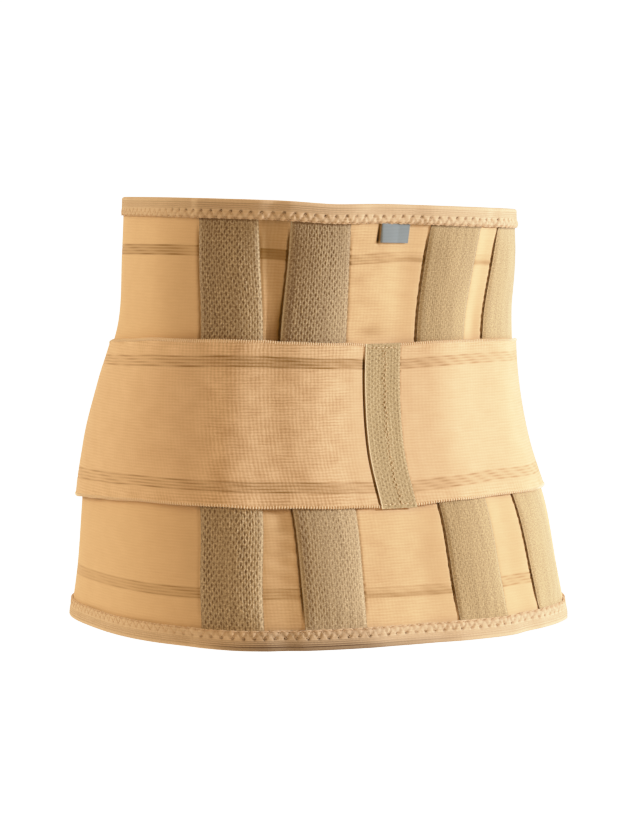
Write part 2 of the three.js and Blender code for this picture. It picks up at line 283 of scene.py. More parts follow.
def crevice(station, level):
    """Narrow fold in the panel along the label's left side, deepest at its lower end."""
    away = arc_at(station, level) - LABEL_LEFT + 0.9
    down = (LABEL_TOP - level) / LABEL_HEIGHT
    beside = stretch(down, -0.3, 0.1, 0.95, 1.08) * (0.5 + 0.5 * down)
    return 1.8 * beside * hump(away, 0.7 + 0.3 * np.clip(down, 0, 1))


def spot(station, level, at, height, wide, tall):
    """1 at one place on the cloth, easing out along the girth and in height."""
    return np.exp(-((station - at) / wide) ** 2 - ((level - height) / tall) ** 2)


def pressed(level):
    """1 along the open length of a tape, 0 where a binding holds its end flat."""
    return stretch(level, -122, -108, 110, 124)


def panel_face(station, level):
    """The panel's outer face: hollow at the back centre and between the tapes, with its small forms."""
    size = np.abs(station)
    inside = np.where(size < 1, np.cos(np.pi * np.minimum(size, 1) / 2).clip(0) ** 0.5, 0)
    centre = -1.6 * hump(station - 0.5, 0.42) * inside
    sunk = np.where(station < 0, 1 + 1.8 * smooth(level, -20, 60), 1.2)
    between = np.where((size > 2) & (size < 3), -sunk * np.sin(np.pi * (size - 2)) ** 2, 0)
    face = centre + between - ditches(station, level) * pressed(level) - crevice(station, level)
    for *place, deep in DENTS:
        face = face - deep * spot(station, level, *place)
    for *place, pitch, high in RIPPLES:
        face = face + high * spot(station, level, *place) * wave(level + 3 * (station - place[0]), pitch)
    return face


# %% Tapes and band on the panel
CHANNEL_THICK = 1.2
CHANNEL_CROWN = 1.8
CHANNEL_EDGE = SEAT + CHANNEL_THICK
BAND_THICK = 1.6
CLOSURE_THICK = 2
CLOSURE_HALF_WIDTH = 45


def channel_face(station, level):
    """A tape's outer face: flat at its edges and crowned over the stay."""
    size = np.abs(station)
    across = np.where(size < 2.5, np.clip(size - 1, 0, 1), np.clip(size - 3, 0, 1))
    return CHANNEL_EDGE + CHANNEL_CROWN * np.sin(np.pi * across) * pressed(level)


def band_seat(station, level):
    """Where the band's inner face rests: on the tapes, across the gaps between them and on the closure."""
    size = np.abs(station)
    edge = CHANNEL_EDGE + SEAT
    to_front = half_at(level) - np.abs(arc_at(station, level))
    over_closure = 1 - smooth(to_front, CLOSURE_HALF_WIDTH + 3, CLOSURE_HALF_WIDTH + 22)
    side = edge + (2 * SEAT - edge) * smooth(size, 4, 4.12) + (CLOSURE_THICK + SEAT) * over_closure
    return np.select(
        [size < 1, size <= 2, size < 3, size <= 4],
        [SEAT + (edge - SEAT) * smooth(size, 0.3, 1), channel_face(station, level) + SEAT,
         edge - 0.4 * np.sin(np.pi * (size - 2)), channel_face(station, level) + SEAT],
        side,
    )


def band_face(arc, level):
    """The band's outer face: its seat eased over 6 mm each way, as stretched elastic spans a step."""
    eased = sum(band_seat(station_at(arc + d, level), level) for d in (-6, -3, 0, 3, 6)) / 5
    return np.maximum(eased, band_seat(station_at(arc, level), level)) + BAND_THICK


print("band over an inner tape", round(float(band_face(arc_at(1.5, 0), 0)), 1), "mm off the belt's face")

# %% [markdown]
# ## Making a sheet of cloth
# A closed sheet needs a face, a back and a rim. The face carries the visible relief, so its grid is fine.
# The back lies against the next layer and can be coarse. The rim joins the two by walking along both edges
# and always stepping to whichever point comes next, so the two grids need not have the same number of points.
# Each sheet keeps its flat coordinates in millimetres as a UV map, which the weaves are drawn in.

# %% Sheets from grids


def rim_faces(face_ids, face_at, back_ids, back_at):
    """Triangles between one edge of the face and the same edge of the back."""
    faces = []
    i = k = 0
    while i < len(face_ids) - 1 or k < len(back_ids) - 1:
        step_face = i < len(face_ids) - 1
        if step_face and k < len(back_ids) - 1:
            step_face = face_at[i + 1] <= back_at[k + 1]
        if step_face:
            faces.append((face_ids[i], back_ids[k], face_ids[i + 1]))
            i += 1
        else:
            faces.append((face_ids[i], back_ids[k], back_ids[k + 1]))
            k += 1
    return faces


def grid_quads(ids, flip):
    """Four-sided faces of a grid of points, turned over if flip is set."""
    a, b, c, d = ids[:-1, :-1], ids[1:, :-1], ids[1:, 1:], ids[:-1, 1:]
    order = (a, d, c, b) if flip else (a, b, c, d)
    return np.stack(order, axis=-1).reshape(-1, 4).tolist()


def finish_piece(name, mesh, material, sharp=50):
    """Makes an object of the mesh, with edges kept sharp above an angle in degrees."""
    mesh.polygons.foreach_set("use_smooth", np.ones(len(mesh.polygons), bool))
    mesh.set_sharp_from_angle(angle=np.radians(sharp))
    mesh.materials.append(material)
    piece = bpy.data.objects.new(name, mesh)
    bpy.context.scene.collection.objects.link(piece)
    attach(piece, "root")
    return piece


# %% A sheet with its flat coordinates and attributes


def cloth_piece(name, material, columns, rows, face, back_columns, back_rows, back, flat, **marks):
    """Sheet whose face and back are functions of column and row; flat gives UVs, marks give attributes."""
    u, v = np.meshgrid(columns, rows, indexing="ij")
    bu, bv = np.meshgrid(back_columns, back_rows, indexing="ij")
    points = np.concatenate([face(u, v).reshape(-1, 3), back(bu, bv).reshape(-1, 3)]) * MM
    front_ids = np.arange(u.size).reshape(u.shape)
    back_ids = u.size + np.arange(bu.size).reshape(bu.shape)
    faces = grid_quads(front_ids, False) + grid_quads(back_ids, True)
    faces += rim_faces(front_ids[:, 0], columns, back_ids[:, 0], back_columns)
    faces += rim_faces(front_ids[-1], rows, back_ids[-1], back_rows)
    faces += rim_faces(front_ids[::-1, -1], -columns[::-1], back_ids[::-1, -1], -back_columns[::-1])
    faces += rim_faces(front_ids[0, ::-1], -rows[::-1], back_ids[0, ::-1], -back_rows[::-1])
    mesh = bpy.data.meshes.new(name)
    mesh.from_pydata(points, [], faces)
    corners = np.empty(len(mesh.loops), np.int32)
    mesh.loops.foreach_get("vertex_index", corners)
    uv = np.concatenate([np.stack(flat(u, v), -1).reshape(-1, 2), np.stack(flat(bu, bv), -1).reshape(-1, 2)])
    layer = mesh.uv_layers.new(name="flat_mm")
    layer.uv.foreach_set("vector", uv[corners].astype(np.float32).ravel())
    for mark, values in marks.items():
        attribute = mesh.attributes.new(mark, "FLOAT", "POINT")
        whole = np.concatenate([values(u, v).ravel(), np.zeros(bu.size)])
        attribute.data.foreach_set("value", whole.astype(np.float32))
    piece = finish_piece(name, mesh, material)
    print(name, len(mesh.vertices), "points", len(faces), "faces")
    return piece


# %% Rows and columns


def spaced(start, stop, step):
    """Even steps from start to stop, each as near to step as fits."""
    return np.linspace(start, stop, max(int(round(abs(stop - start) / step)), 1) + 1)


def rows_with_ribs(start, stop, step, centres, reach, fine):
    """Row levels spaced by step, but by fine within reach of each group of rib lines."""
    parts = []
    low = start
    for centre in sorted(centres):
        parts += [spaced(low, centre - reach, step)[:-1], spaced(centre - reach, centre + reach, fine)[:-1]]
        low = centre + reach
    return np.concatenate(parts + [spaced(low, stop, step)])


# %% [markdown]
# ## Sewing thread
# A stitch is a short round thread that dips into the cloth at both ends. Many stitches make one mesh: all
# have the same number of points, so one array holds them all, and a ring of points is set round each.

# %% Threads from arrays


def thread_piece(name, material, paths, radius, sides=6):
    """Round threads along paths, an array of threads by points by xyz in mm, joined into one mesh."""
    count, length, _ = paths.shape
    along = np.gradient(paths, axis=1)
    along /= np.linalg.norm(along, axis=-1, keepdims=True)
    outward = paths * (1, 1, 0)
    across = np.cross(along, outward)
    across /= np.linalg.norm(across, axis=-1, keepdims=True)
    outward = np.cross(across, along)
    angle = np.linspace(0, 2 * np.pi, sides, endpoint=False)
    taper = np.ones(length)
    taper[[0, -1]] = 0.45
    ring = np.cos(angle)[:, None] * across[:, :, None] + np.sin(angle)[:, None] * outward[:, :, None]
    points = paths[:, :, None] + radius * taper[None, :, None, None] * ring
    ids = np.arange(count * length * sides).reshape(count, length, sides)
    turned = np.roll(ids, -1, axis=2)
    quads = np.stack([ids[:, :-1], turned[:, :-1], turned[:, 1:], ids[:, 1:]], axis=-1).reshape(-1, 4)
    faces = quads.tolist() + ids[:, 0, ::-1].tolist() + ids[:, -1].tolist()
    mesh = bpy.data.meshes.new(name)
    mesh.from_pydata(points.reshape(-1, 3) * MM, [], faces)
    piece = finish_piece(name, mesh, material, sharp=70)
    print(name, count, "stitches")
    return piece


# %% [markdown]
# ## Colours and nodes
# Colours are written as they look on screen and turned to the linear values that the renderer works in.
# One small function adds any node with its settings, constants and links.

# %% Helpers for materials


def linear(code):
    """Turns an sRGB hex colour into linear light."""
    parts = [int(code[i:i + 2], 16) / 255 for i in (1, 3, 5)]
    return [p / 12.92 if p <= 0.04045 else ((p + 0.055) / 1.055) ** 2.4 for p in parts] + [1]


def put(tree, kind, constants=None, links=None, **settings):
    """Adds a shader node: settings are its own options, constants and links go to its input sockets."""
    made = tree.nodes.new("ShaderNode" + kind)
    for key, value in settings.items():
        setattr(made, key, value)
    for socket, value in (constants or {}).items():
        made.inputs[socket].default_value = value
    for socket, source in (links or {}).items():
        tree.links.new(source, made.inputs[socket])
    return made.outputs


def new_material(name):
    material = bpy.data.materials.new(name)
    material.use_nodes = True
    material.node_tree.nodes.clear()
    return material, material.node_tree


def ripple(tree, length, pitch):
    """A wave of one repeat each pitch millimetres along a length in mm, from -1 to 1."""
    angle = put(tree, "Math", {1: 2 * np.pi / pitch}, {0: length}, operation="MULTIPLY")
    return put(tree, "Math", links={0: angle[0]}, operation="SINE")[0]


# %% [markdown]
# ## Woven elastic
# Covered rubber threads run round the body and a fine polyester yarn is woven across them. Stretched, the
# cloth shows close upright ribs and fainter cross lines, and a soft dry sheen of loose fibre at grazing
# angles. The real yarns are about 0.8 mm apart, near one pixel here, so the ribs are drawn every 2.4 mm and
# the cross lines every 1.8 mm, as coarse as they need to be to show. The weave is a mix of waves in the flat
# coordinates: geometry this fine would need millions of faces. The mesh says where the weave shows most, in
# its attribute ribbing, and in a second attribute where it is dark: its woven lines and marks, and painted
# shade.

# %% Elastic material
RIB_PITCH = 2.4
PICK_PITCH = 1.8


def woven_elastic(name, yarn, shade, line, pick_share, all_picks):
    material, tree = new_material(name)
    flat = put(tree, "UVMap", uv_map="flat_mm")["UV"]
    # no yarn lies quite straight: it strays by about 0.4 mm along the girth and 0.25 mm in height, in waves
    # about 4 mm long
    stray = put(tree, "TexNoise", {"Scale": 0.25, "Detail": 2}, {"Vector": flat})
    wavy = put(tree, "VectorMath", {1: (1.9, 1.2, 0)}, {0: stray["Color"], 2: flat}, operation="MULTIPLY_ADD")
    uv = put(tree, "SeparateXYZ", links={0: wavy[0]})
    ribs = ripple(tree, uv["X"], RIB_PITCH)
    ribbing = put(tree, "Attribute", attribute_name="ribbing")
    picks = ripple(tree, uv["Y"], PICK_PITCH)
    # loose yarns: streaks about 14 mm long and 0.9 mm high
    stretched = put(tree, "Mapping", {"Scale": (1 / 16, 1, 1)}, {"Vector": flat})
    slubs = put(tree, "TexNoise", {"Scale": 1.1, "Detail": 3, "Roughness": 0.6}, {"Vector": stretched[0]})
    # uneven tension: soft patches about 12 mm wide, stronger where the weave shows
    patches = put(tree, "TexNoise", {"Scale": 0.08, "Detail": 2}, {"Vector": flat})
    tension = put(tree, "Math", {1: 3.4, 2: 0.15}, {0: ribbing["Fac"]}, operation="MULTIPLY_ADD")
    mottled = put(tree, "Math", {1: -0.5}, {0: patches["Fac"]}, operation="ADD")
    # where the ribs are slack the picks stand out instead, in clouds about 15 mm wide
    clouds = put(tree, "TexNoise", {"Scale": 0.07, "Detail": 2}, {"Vector": flat})
    slack = put(tree, "MapRange", {1: all_picks - 0.3, 2: all_picks, 3: 0.25, 4: 0.7}, {0: clouds["Fac"]})
    grid = put(tree, "Mix", {}, {0: slack[0], 2: ribs, 3: picks})
    ribbed = put(tree, "Math", {2: 0.5}, {0: grid[0], 1: ribbing["Fac"]}, operation="MULTIPLY_ADD")
    checked = put(tree, "Math", {1: pick_share}, {0: picks, 2: ribbed[0]}, operation="MULTIPLY_ADD")
    slubbed = put(tree, "Math", {1: 2.4, 2: 0.3}, {0: ribbing["Fac"]}, operation="MULTIPLY_ADD")
    streaks = put(tree, "Math", {1: -0.5}, {0: slubs["Fac"]}, operation="ADD")
    uneven = put(tree, "Math", links={0: streaks[0], 1: slubbed[0], 2: checked[0]}, operation="MULTIPLY_ADD")
    spread = put(tree, "Math", links={0: mottled[0], 1: tension[0], 2: uneven[0]}, operation="MULTIPLY_ADD")
    weave = put(tree, "MapRange", {1: -0.1, 2: 1}, {0: spread[0]})
    cloth = put(tree, "Mix", {6: linear(shade), 7: linear(yarn)}, {0: weave[0]}, data_type="RGBA")
    # the line colour paints the woven rib lines, and also painted shade where the mesh marks it
    groove = put(tree, "Attribute", attribute_name="groove")
    lined = put(tree, "Mix", {7: linear(line)}, {0: groove["Fac"], 6: cloth[2]}, data_type="RGBA")
    # past full depth a mark is painted near black, as a fold that no light reaches: painted shade
    folded = put(tree, "Math", {1: 1}, {0: groove["Fac"]}, operation="SUBTRACT", use_clamp=True)
    shut = put(tree, "Mix", {7: linear("#20140A")}, {0: folded[0], 6: lined[2]}, data_type="RGBA")
    bump = put(tree, "Bump", {"Strength": 0.35, "Distance": 0.0004}, {"Height": weave[0]})
    # polyester, dry and hairy: hardly a highlight, and a faint pale rim
    shader = put(
        tree, "BsdfPrincipled",
        {"Roughness": 0.85, "IOR": 1.5, "Specular IOR Level": 0.25, "Sheen Weight": 0.1,
         "Sheen Roughness": 0.45},
        {"Base Color": shut[2], "Normal": bump[0]},
    )
    put(tree, "OutputMaterial", links={"Surface": shader[0]})
    return material


# the third colour draws the woven rib lines and the painted shade in ditches, creases and gaps
body_elastic = woven_elastic(
    "woven_elastic_body", "#E4BE8B", "#C29869", "#7F591C", pick_share=0.03, all_picks=0.48)
band_elastic = woven_elastic(
    "woven_elastic_band", "#E7C193", "#BE9567", "#7F591C", pick_share=0.06, all_picks=0.65)
print("elastic ribs every", RIB_PITCH, "mm")

# %% [markdown]
# ## Fold-over binding
# The edge binding is a narrow knitted elastic, folded over the panel's edge and sewn with a zigzag. It is a
# little duller than the panel, with cords running along it and needle holes where the zigzag turns. Its yarns
# are those of the panel, so the same function makes it in other colours.

# %% Binding and thread materials
# its dark colour paints the needle holes, the zigzag's pull, the lines between the cords and the lower fold
# as painted shade
binding_elastic = woven_elastic(
    "fold_over_binding_elastic", "#E0BF96", "#BE9C72", "#4A2E12", pick_share=0.05, all_picks=0.65)


def sewing_thread(name, shade, colour):
    material, tree = new_material(name)
    twist = put(tree, "TexCoord")
    # spun polyester: fine fibres about 0.4 mm apart break up the colour
    fibre = put(tree, "TexNoise", {"Scale": 2500, "Detail": 2}, {"Vector": twist["Object"]})
    tint = put(tree, "Mix", {6: linear(shade), 7: linear(colour)}, {0: fibre["Fac"]}, data_type="RGBA")
    # a tight twist: a soft highlight that lifts the stitch off the dull cloth
    shader = put(
        tree, "BsdfPrincipled",
        {"Roughness": 0.6, "Specular IOR Level": 0.4, "Sheen Weight": 0.2, "Sheen Roughness": 0.4},
        {"Base Color": tint[2]},
    )
    put(tree, "OutputMaterial", links={"Surface": shader[0]})
    return material


beige_thread = sewing_thread("polyester_thread_beige", "#C49A69", "#DCB98C")
pale_thread = sewing_thread("polyester_thread_pale", "#DDBB8C", "#F2D9B2")
tan_thread = sewing_thread("polyester_thread_tan", "#C49A69", "#E6D0A4")
print("materials so far", len(bpy.data.materials))

# %% [markdown]
# ## Stay channel tape
# The channels are a coarse warp-knitted tape of dull tan yarn, with dark oval pits in upright columns between
# its threads. The columns are 1.6 mm apart and the pits in a column 5 mm, so they are real relief on the
# mesh. The mesh also carries, in its attribute relief, how deep a point lies together with painted shade and
# light, and the material paints the pits darker and the threads paler from it. Worn yarn adds soft upright
# streaks.

# %% Channel tape material


def knitted_tape(name, crest, side, pit, edge):
    material, tree = new_material(name)
    depth = put(tree, "Attribute", attribute_name="relief")
    border = put(tree, "Attribute", attribute_name="selvedge")
    flat = put(tree, "UVMap", uv_map="flat_mm")["UV"]
    # spun yarn: tufts of fibre 0.8 mm apart
    fibre = put(tree, "TexNoise", {"Scale": 1.2, "Detail": 4, "Roughness": 0.75}, {"Vector": flat})
    # upright streaks about 3 mm wide and 40 mm tall
    drawn = put(tree, "Mapping", {"Scale": (1, 1 / 13, 1)}, {"Vector": flat})
    dye = put(tree, "TexNoise", {"Scale": 0.3, "Detail": 2}, {"Vector": drawn[0]})
    # fine threads both ways between the loops, 1.5 and 1.7 mm apart
    uv = put(tree, "SeparateXYZ", links={0: flat})
    upright, level = ripple(tree, uv["X"], 1.5), ripple(tree, uv["Y"], 1.7)
    checks = put(tree, "Math", links={0: upright, 1: level}, operation="ADD")
    threads = put(tree, "Math", {1: 0.015, 2: -0.95}, {0: checks[0]}, operation="MULTIPLY_ADD")
    fuzz = put(tree, "Math", {1: 1.9}, {0: fibre["Fac"], 2: threads[0]}, operation="MULTIPLY_ADD")
    tone = put(tree, "Math", {1: 0.36, 2: -0.18}, {0: dye["Fac"]}, operation="MULTIPLY_ADD")
    mixed = put(tree, "Math", links={0: fuzz[0], 1: tone[0]}, operation="ADD")
    height = put(tree, "Math", links={0: depth["Fac"], 1: mixed[0]}, operation="ADD")
    # the ramp paints the pits dark and the thread crests pale from the relief attribute: painted shade and
    # painted highlight
    ramp = tree.nodes.new("ShaderNodeValToRGB")
    stops = ramp.color_ramp.elements
    stops[0].position, stops[0].color = 0, linear(pit)
    stops[1].position, stops[1].color = 0.95, linear(crest)
    middle = stops.new(0.5)
    middle.color = linear(side)
    tree.links.new(height[0], ramp.inputs[0])
    # the cords are painted pale: partly paler yarn, partly a painted highlight
    edged = put(tree, "Mix", {7: linear(edge)}, {0: border["Fac"], 6: ramp.outputs[0]}, data_type="RGBA")
    bump = put(tree, "Bump", {"Strength": 0.5, "Distance": 0.0003}, {"Height": fibre["Fac"]})
    # coarse matt yarn: no highlight, and a pale rim of loose fibre
    shader = put(
        tree, "BsdfPrincipled",
        {"Roughness": 0.9, "Specular IOR Level": 0.2, "Sheen Weight": 0.3, "Sheen Roughness": 0.5},
        {"Base Color": edged[2], "Normal": bump[0]},
    )
    put(tree, "OutputMaterial", links={"Surface": shader[0]})
    return material


# pit colours are painted shade and crest colours a painted highlight
channel_tape = knitted_tape("warp_knitted_tape_tan", "#DABA86", "#AE9266", "#7A5F3A", "#E6CFA4")
# a paler, cooler copy of the tan tape for the left tapes, which lie on the shaded side: painted light
shaded_side_tape = knitted_tape("warp_knitted_tape_shaded_side", "#DEC094", "#AF956E", "#7A5E3D", "#E6CFA4")
strip_tape = knitted_tape("warp_knitted_tape_light", "#D3BC92", "#B0966A", "#7E6644", "#E6CDA2")
print("materials so far", len(bpy.data.materials))

# %% [markdown]
# ## Label satin and loop velour
# The label is smooth woven polyester satin, so it is the one cloth with a clear highlight; it is left bare.
# The closure at the front is brushed loop velour, a short pile for hooks to grip: dull, with a strong sheen.

# %% Label and velour materials
label_satin, tree = new_material("woven_satin_grey")
flat = put(tree, "UVMap", uv_map="flat_mm")["UV"]
uv = put(tree, "SeparateXYZ", links={0: flat})
# weft yarns, drawn 0.9 mm apart because the real ones are too fine to show
weft = ripple(tree, uv["Y"], 0.9)
satin = put(tree, "MapRange", {1: -1.6, 2: 1.6}, {0: weft})
tint = put(tree, "Mix", {6: linear("#737977"), 7: linear("#848A88")}, {0: satin[0]}, data_type="RGBA")
bump = put(tree, "Bump", {"Strength": 0.2, "Distance": 0.0002}, {"Height": satin[0]})
# smooth floats of yarn: one clear, soft highlight
shader = put(
    tree, "BsdfPrincipled", {"Roughness": 0.45, "Specular IOR Level": 0.45, "Sheen Weight": 0.1},
    {"Base Color": tint[2], "Normal": bump[0]},
)
put(tree, "OutputMaterial", links={"Surface": shader[0]})

loop_velour, tree = new_material("brushed_loop_velour_beige")
flat = put(tree, "UVMap", uv_map="flat_mm")["UV"]
# pile loops about 1.2 mm across
pile = put(tree, "TexVoronoi", {"Scale": 0.85, "Randomness": 1}, {"Vector": flat})
# the pile lies this way and that in patches about 17 mm wide
lay = put(tree, "TexNoise", {"Scale": 0.06, "Detail": 3}, {"Vector": flat})
brushed = put(tree, "Math", {1: 0.6}, {0: pile["Distance"], 2: lay["Fac"]}, operation="MULTIPLY_ADD")
flattened = put(tree, "MapRange", {1: 0.3, 2: 1.2}, {0: brushed[0]})
tint = put(tree, "Mix", {6: linear("#D9B287"), 7: linear("#BF9465")}, {0: flattened[0]}, data_type="RGBA")
bump = put(tree, "Bump", {"Strength": 0.8, "Distance": 0.0006}, {"Height": pile["Distance"]})
# a dull pile with a strong pale sheen where it is seen from the side
shader = put(
    tree, "BsdfPrincipled",
    {"Roughness": 0.95, "Specular IOR Level": 0.15, "Sheen Weight": 0.5, "Sheen Roughness": 0.5},
    {"Base Color": tint[2], "Normal": bump[0]},
)
put(tree, "OutputMaterial", links={"Surface": shader[0]})
print("materials", len(bpy.data.materials))

# %% [markdown]
# ## Belt body
# The panel is one wide piece of elastic. Two groups of fine rib lines are woven into it near its edges.
# They are thin grooves in the mesh: the rows of the grid are close together there and wide apart elsewhere.
# Darker places are soft spots in a table, so they stay with the cloth. They are painted shade: in creases and
# dents, in the gap between the left tapes, over the lower body and beside the label.

# %% Rib lines
RIB_LINE_PITCH = 1.85
RIB_LINE_WIDTH = 0.45
RIB_DEPTH = 0.35
# strength of each line in a group, from its lowest
RIB_LINES = (1, 0.75, 0.8, 0.95)
# for each group's level: lengths along the girth, how far it wanders up there, and how dark its whole stripe
# is, its thin lines, and the lower lines where they run together into one broad one
BODY_RIBS = {
    -102: (
        (-300, 0, 0.12, 0.18, 0), (-201, 0.6, 0.2, 0.22, 0), (-155, 0.5, 0.19, 0.4, 0),
        (-83, 0.6, 0.1, 0.3, 0), (-15, -0.7, 0.1, 0.15, 0.3), (16, -1.3, 0.12, 0.17, 0.25),
        (81, 0, 0.1, 0.3, 0), (130, 0, 0.1, 0.25, 0),
    ),
    104: (
        (-245, -1, 0.2, 0.25, 0), (-220, -0.8, 0.3, 0.4, 0), (-160, 0.2, 0.34, 0.45, 0),
        (-142, 0.5, 0.3, 0.4, 0), (-128, 0.6, 0.12, 0.25, 0), (-123, 0.5, 0.12, 0.25, 0),
        (-84, 0, 0.34, 0.11, 0), (-66, -0.4, 0.34, 0.11, 0), (-27, -2, 0.18, 0.28, 0),
        (-10, -1.2, 0.18, 0.3, 0), (14, 0.5, 0.07, 0.11, 0.35), (78, -0.5, 0.08, 0.07, 0.36),
        (130, -0.5, 0.08, 0.07, 0.3),
    ),
}


def rib_values(arc, rows):
    """The four values of a rib group at lengths along the girth, joined by straight lines."""
    table = np.array(rows, float).T
    return [np.interp(arc, table[0], column) for column in table[1:]]


def rib_lines(arc, level, groups):
    """How strong the thin rib lines are at a point; each line fades and comes back along the girth."""
    depth = np.zeros(np.shape(level))
    for centre, rows in groups.items():
        wander, _, strength, _ = rib_values(arc, rows)
        for line, full in enumerate(RIB_LINES):
            at = centre + wander + (line - (len(RIB_LINES) - 1) / 2) * RIB_LINE_PITCH
            fade = 0.55 * np.sin(arc / 5.3 + 1.9 * line) * np.sin(arc / 31 + 0.8 * line + centre)
            fade = fade + 0.6 * smooth(arc, 10, 40) * np.sin(arc / 2.1 + 1.7 * line)
            depth = depth + strength * full * (1 + fade) * hump(level - at, RIB_LINE_WIDTH)
    return depth


def rib_stain(arc, level, groups):
    """How dark the rib groups are: thin lines on a stripe that breaks into slanted dashes at the right."""
    dark = rib_lines(arc, level, groups)
    dashes = 1 + 0.35 * smooth(arc, -60, 0) * np.sin(arc / 2.2 + 0.9 * level)
    for centre, rows in groups.items():
        wander, stripe, _, broad = rib_values(arc, rows)
        away = level - centre - wander
        dark = dark + stripe * dashes * (1 - smooth(np.abs(away), 2.9, 3.7))
        dark = dark + broad * hump(away + 1.7, 1.6)
    return dark


print("rib groups at levels", list(BODY_RIBS))

# %% Painted shade
# station, level, spread along the girth, spread in height, strength
SHADE_PATCHES = (
    (-0.3, 57, 0.4, 3.2, 0.34),
    (-0.75, 90, 0.25, 4, 0.12),
    (-0.6, 76, 0.4, 2.5, 0.14),
    (0.3, 97, 0.6, 1.6, 0.12),
    (0.1, 112, 0.7, 2, 0.1),
    (-2.08, 60, 0.22, 17, 0.6),
    (-2.9, 112, 0.4, 8, 0.15),
    (2.5, -85, 0.5, 30, 0.18),
    (0.5, -85, 0.5, 28, 0.16),
    (-0.5, -85, 0.5, 28, 0.1),
    (-4.09, 90, 0.06, 40, 0.12),
    (-2.5, -63, 0.4, 2.6, 0.16),
    (-2.5, -76, 0.4, 2.6, 0.12),
    (-4.02, -85, 0.02, 30, 0.08),
)


def patches(station, level):
    """Painted shade: darker spots in creases, dents and over the lower body, across the deep gap between the
    left tapes, and in the fold beside the label.
    """
    # painted shade across the deep gap between the left tapes, less towards the left tape where light reaches
    # in
    inside = stretch(-station, 2, 2.1, 2.9, 3)
    lit = smooth(-station, 2.35, 2.85) * stretch(level, 30, 50, 75, 100)
    dark = 0.21 * inside * (1 + smooth(level, 0, 80)) * (1 - 0.8 * lit)
    for *place, strength in SHADE_PATCHES:
        dark = dark + strength * spot(station, level, *place)
    # painted shadow in the fold beside the label
    return dark + 1.2 * crevice(station, level)


def painted_shadow_by_bindings(station, level):
    """Painted shadow: a dark line on the cloth just beyond each binding's free edge, the lower one only at
    the left side.
    """
    top = hump(level - TOP_EDGE + BINDING_LEG + 0.5, 0.7)
    bottom = hump(level - BOTTOM_EDGE - BINDING_LEG - 0.7, 0.8) * (1 - smooth(station, -4.05, -4))
    dashes = 0.65 + 0.35 * wave(arc_at(station, level), 4)
    return (0.45 * top + 1.1 * bottom) * dashes


def panel_lines_and_painted_shade(station, level):
    # the panel's dark marks: its woven rib lines, and painted shade in the ditches, beside the bindings' free
    # edges, in creases, in the gap between the left tapes and beside the label
    lines = rib_stain(arc_at(station, level), level, BODY_RIBS)
    # painted shade in the ditches beside the tapes
    lines = lines + 0.65 * ditches(station, level) * pressed(level)
    return np.minimum(lines, 1) + painted_shadow_by_bindings(station, level) + patches(station, level)


def panel_outer(station, level):
    grooves = RIB_DEPTH * rib_lines(arc_at(station, level), level, BODY_RIBS)
    return on_station(station, level, panel_face(station, level) - grooves)


print("stained places", len(SHADE_PATCHES))

# %% Panel
# stations lie close beside the tapes' edges and the label, and wide apart elsewhere
near_tape = np.array([0, 0.01, 0.02, 0.032, 0.045, 0.06, 0.08, 0.11, 0.16])
stations = mirrored(np.concatenate([
    spaced(0, 0.16, 0.08), spaced(0.22, 0.4, 0.015), spaced(0.48, 0.8, 0.08),
    1 - near_tape[:0:-1], 1 + spaced(0, 1, 0.125)[:-1], 2 + near_tape, 2 + spaced(0.25, 0.75, 0.1),
    3 - near_tape[:0:-1], 3 + spaced(0, 1, 0.125)[:-1], 4 + near_tape / 6, 4 + spaced(0.038, 1, 0.011),
]))
body_rows = rows_with_ribs(BOTTOM_EDGE, TOP_EDGE, 2.2, BODY_RIBS, reach=6, fine=0.34)
belt_cloth = cloth_piece(
    "belt_cloth", body_elastic, stations, body_rows, panel_outer,
    stations[::2], spaced(BOTTOM_EDGE, TOP_EDGE, 6),
    lambda s, z: on_station(s, z, panel_face(s, z) - PANEL_THICK),
    lambda s, z: (arc_at(s, z), z),
    groove=panel_lines_and_painted_shade, ribbing=lambda s, z: 0.03 + 0.15 * stretch(s, -3.4, -3, -1, 1.6),
)
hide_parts("belt_body")

# %% [markdown]
# ## Stay channels
# Each channel is a strip of the knitted tape, sewn down along both edges. The relief comes from the knit
# itself: each stitch leaves an oval pit with a thread bent round either side of it, and the pits of one
# column lie halfway between those of the next. At both sides a firm selvedge cord closes the tape. A
# displacement texture could draw all this, but a formula for one stitch, repeated over the grid, stays sharp.

# %% Knitted relief
WALE = 1.62
COURSE = 5.15
KNIT_MEAN = 0.545
CORD = 0.6
CORD_BEAD = 2.6
EDGE_DROP = 0.8
BAND_HALF = 50
BAND_COVER = 46


def scatter(column, row):
    """A number from 0 to 1 for each stitch that looks random but is always the same."""
    value = np.sin(12.9898 * column + 78.233 * row) * 437.585
    return value - np.floor(value)


def knit(across, along, wale=WALE, course=COURSE):
    """Height of the knit, about 0 in a pit and 1 on a thread; some columns and stitches are slacker."""
    x = across + 0.2 * np.sin(0.13 * along) + 0.05 * wale * np.sin(1.1 * along + across)
    column = np.round(x / wale)
    away = x - column * wale
    start = course * (0.5 * np.mod(column, 2) + 0.14 * scatter(column, 3))
    start = start + 0.2 * np.sin(0.21 * along + 2 * column)
    row = np.round((along + start) / course)
    up = along + start - row * course
    slant = 0.1 * (scatter(column, 11) - 0.5)
    aside = wale * 0.3 * (scatter(row, column + 5) - 0.5)
    early = course * 0.14 * (scatter(column + 2, row) - 0.5)
    far = np.hypot((away + aside + slant * up) / (0.36 * wale), (up + early) / (0.23 * course))
    depth = (0.65 + 0.35 * scatter(column, 7)) * (0.7 + 0.4 * scatter(column, row))
    thread = hump(far - 1.6, 0.45) * np.clip(np.abs(away) / (0.28 * wale), 0, 1)
    return 0.5 - 0.75 * depth * hump(far, 1) + 0.6 * thread * (0.6 + 0.6 * scatter(row, column))


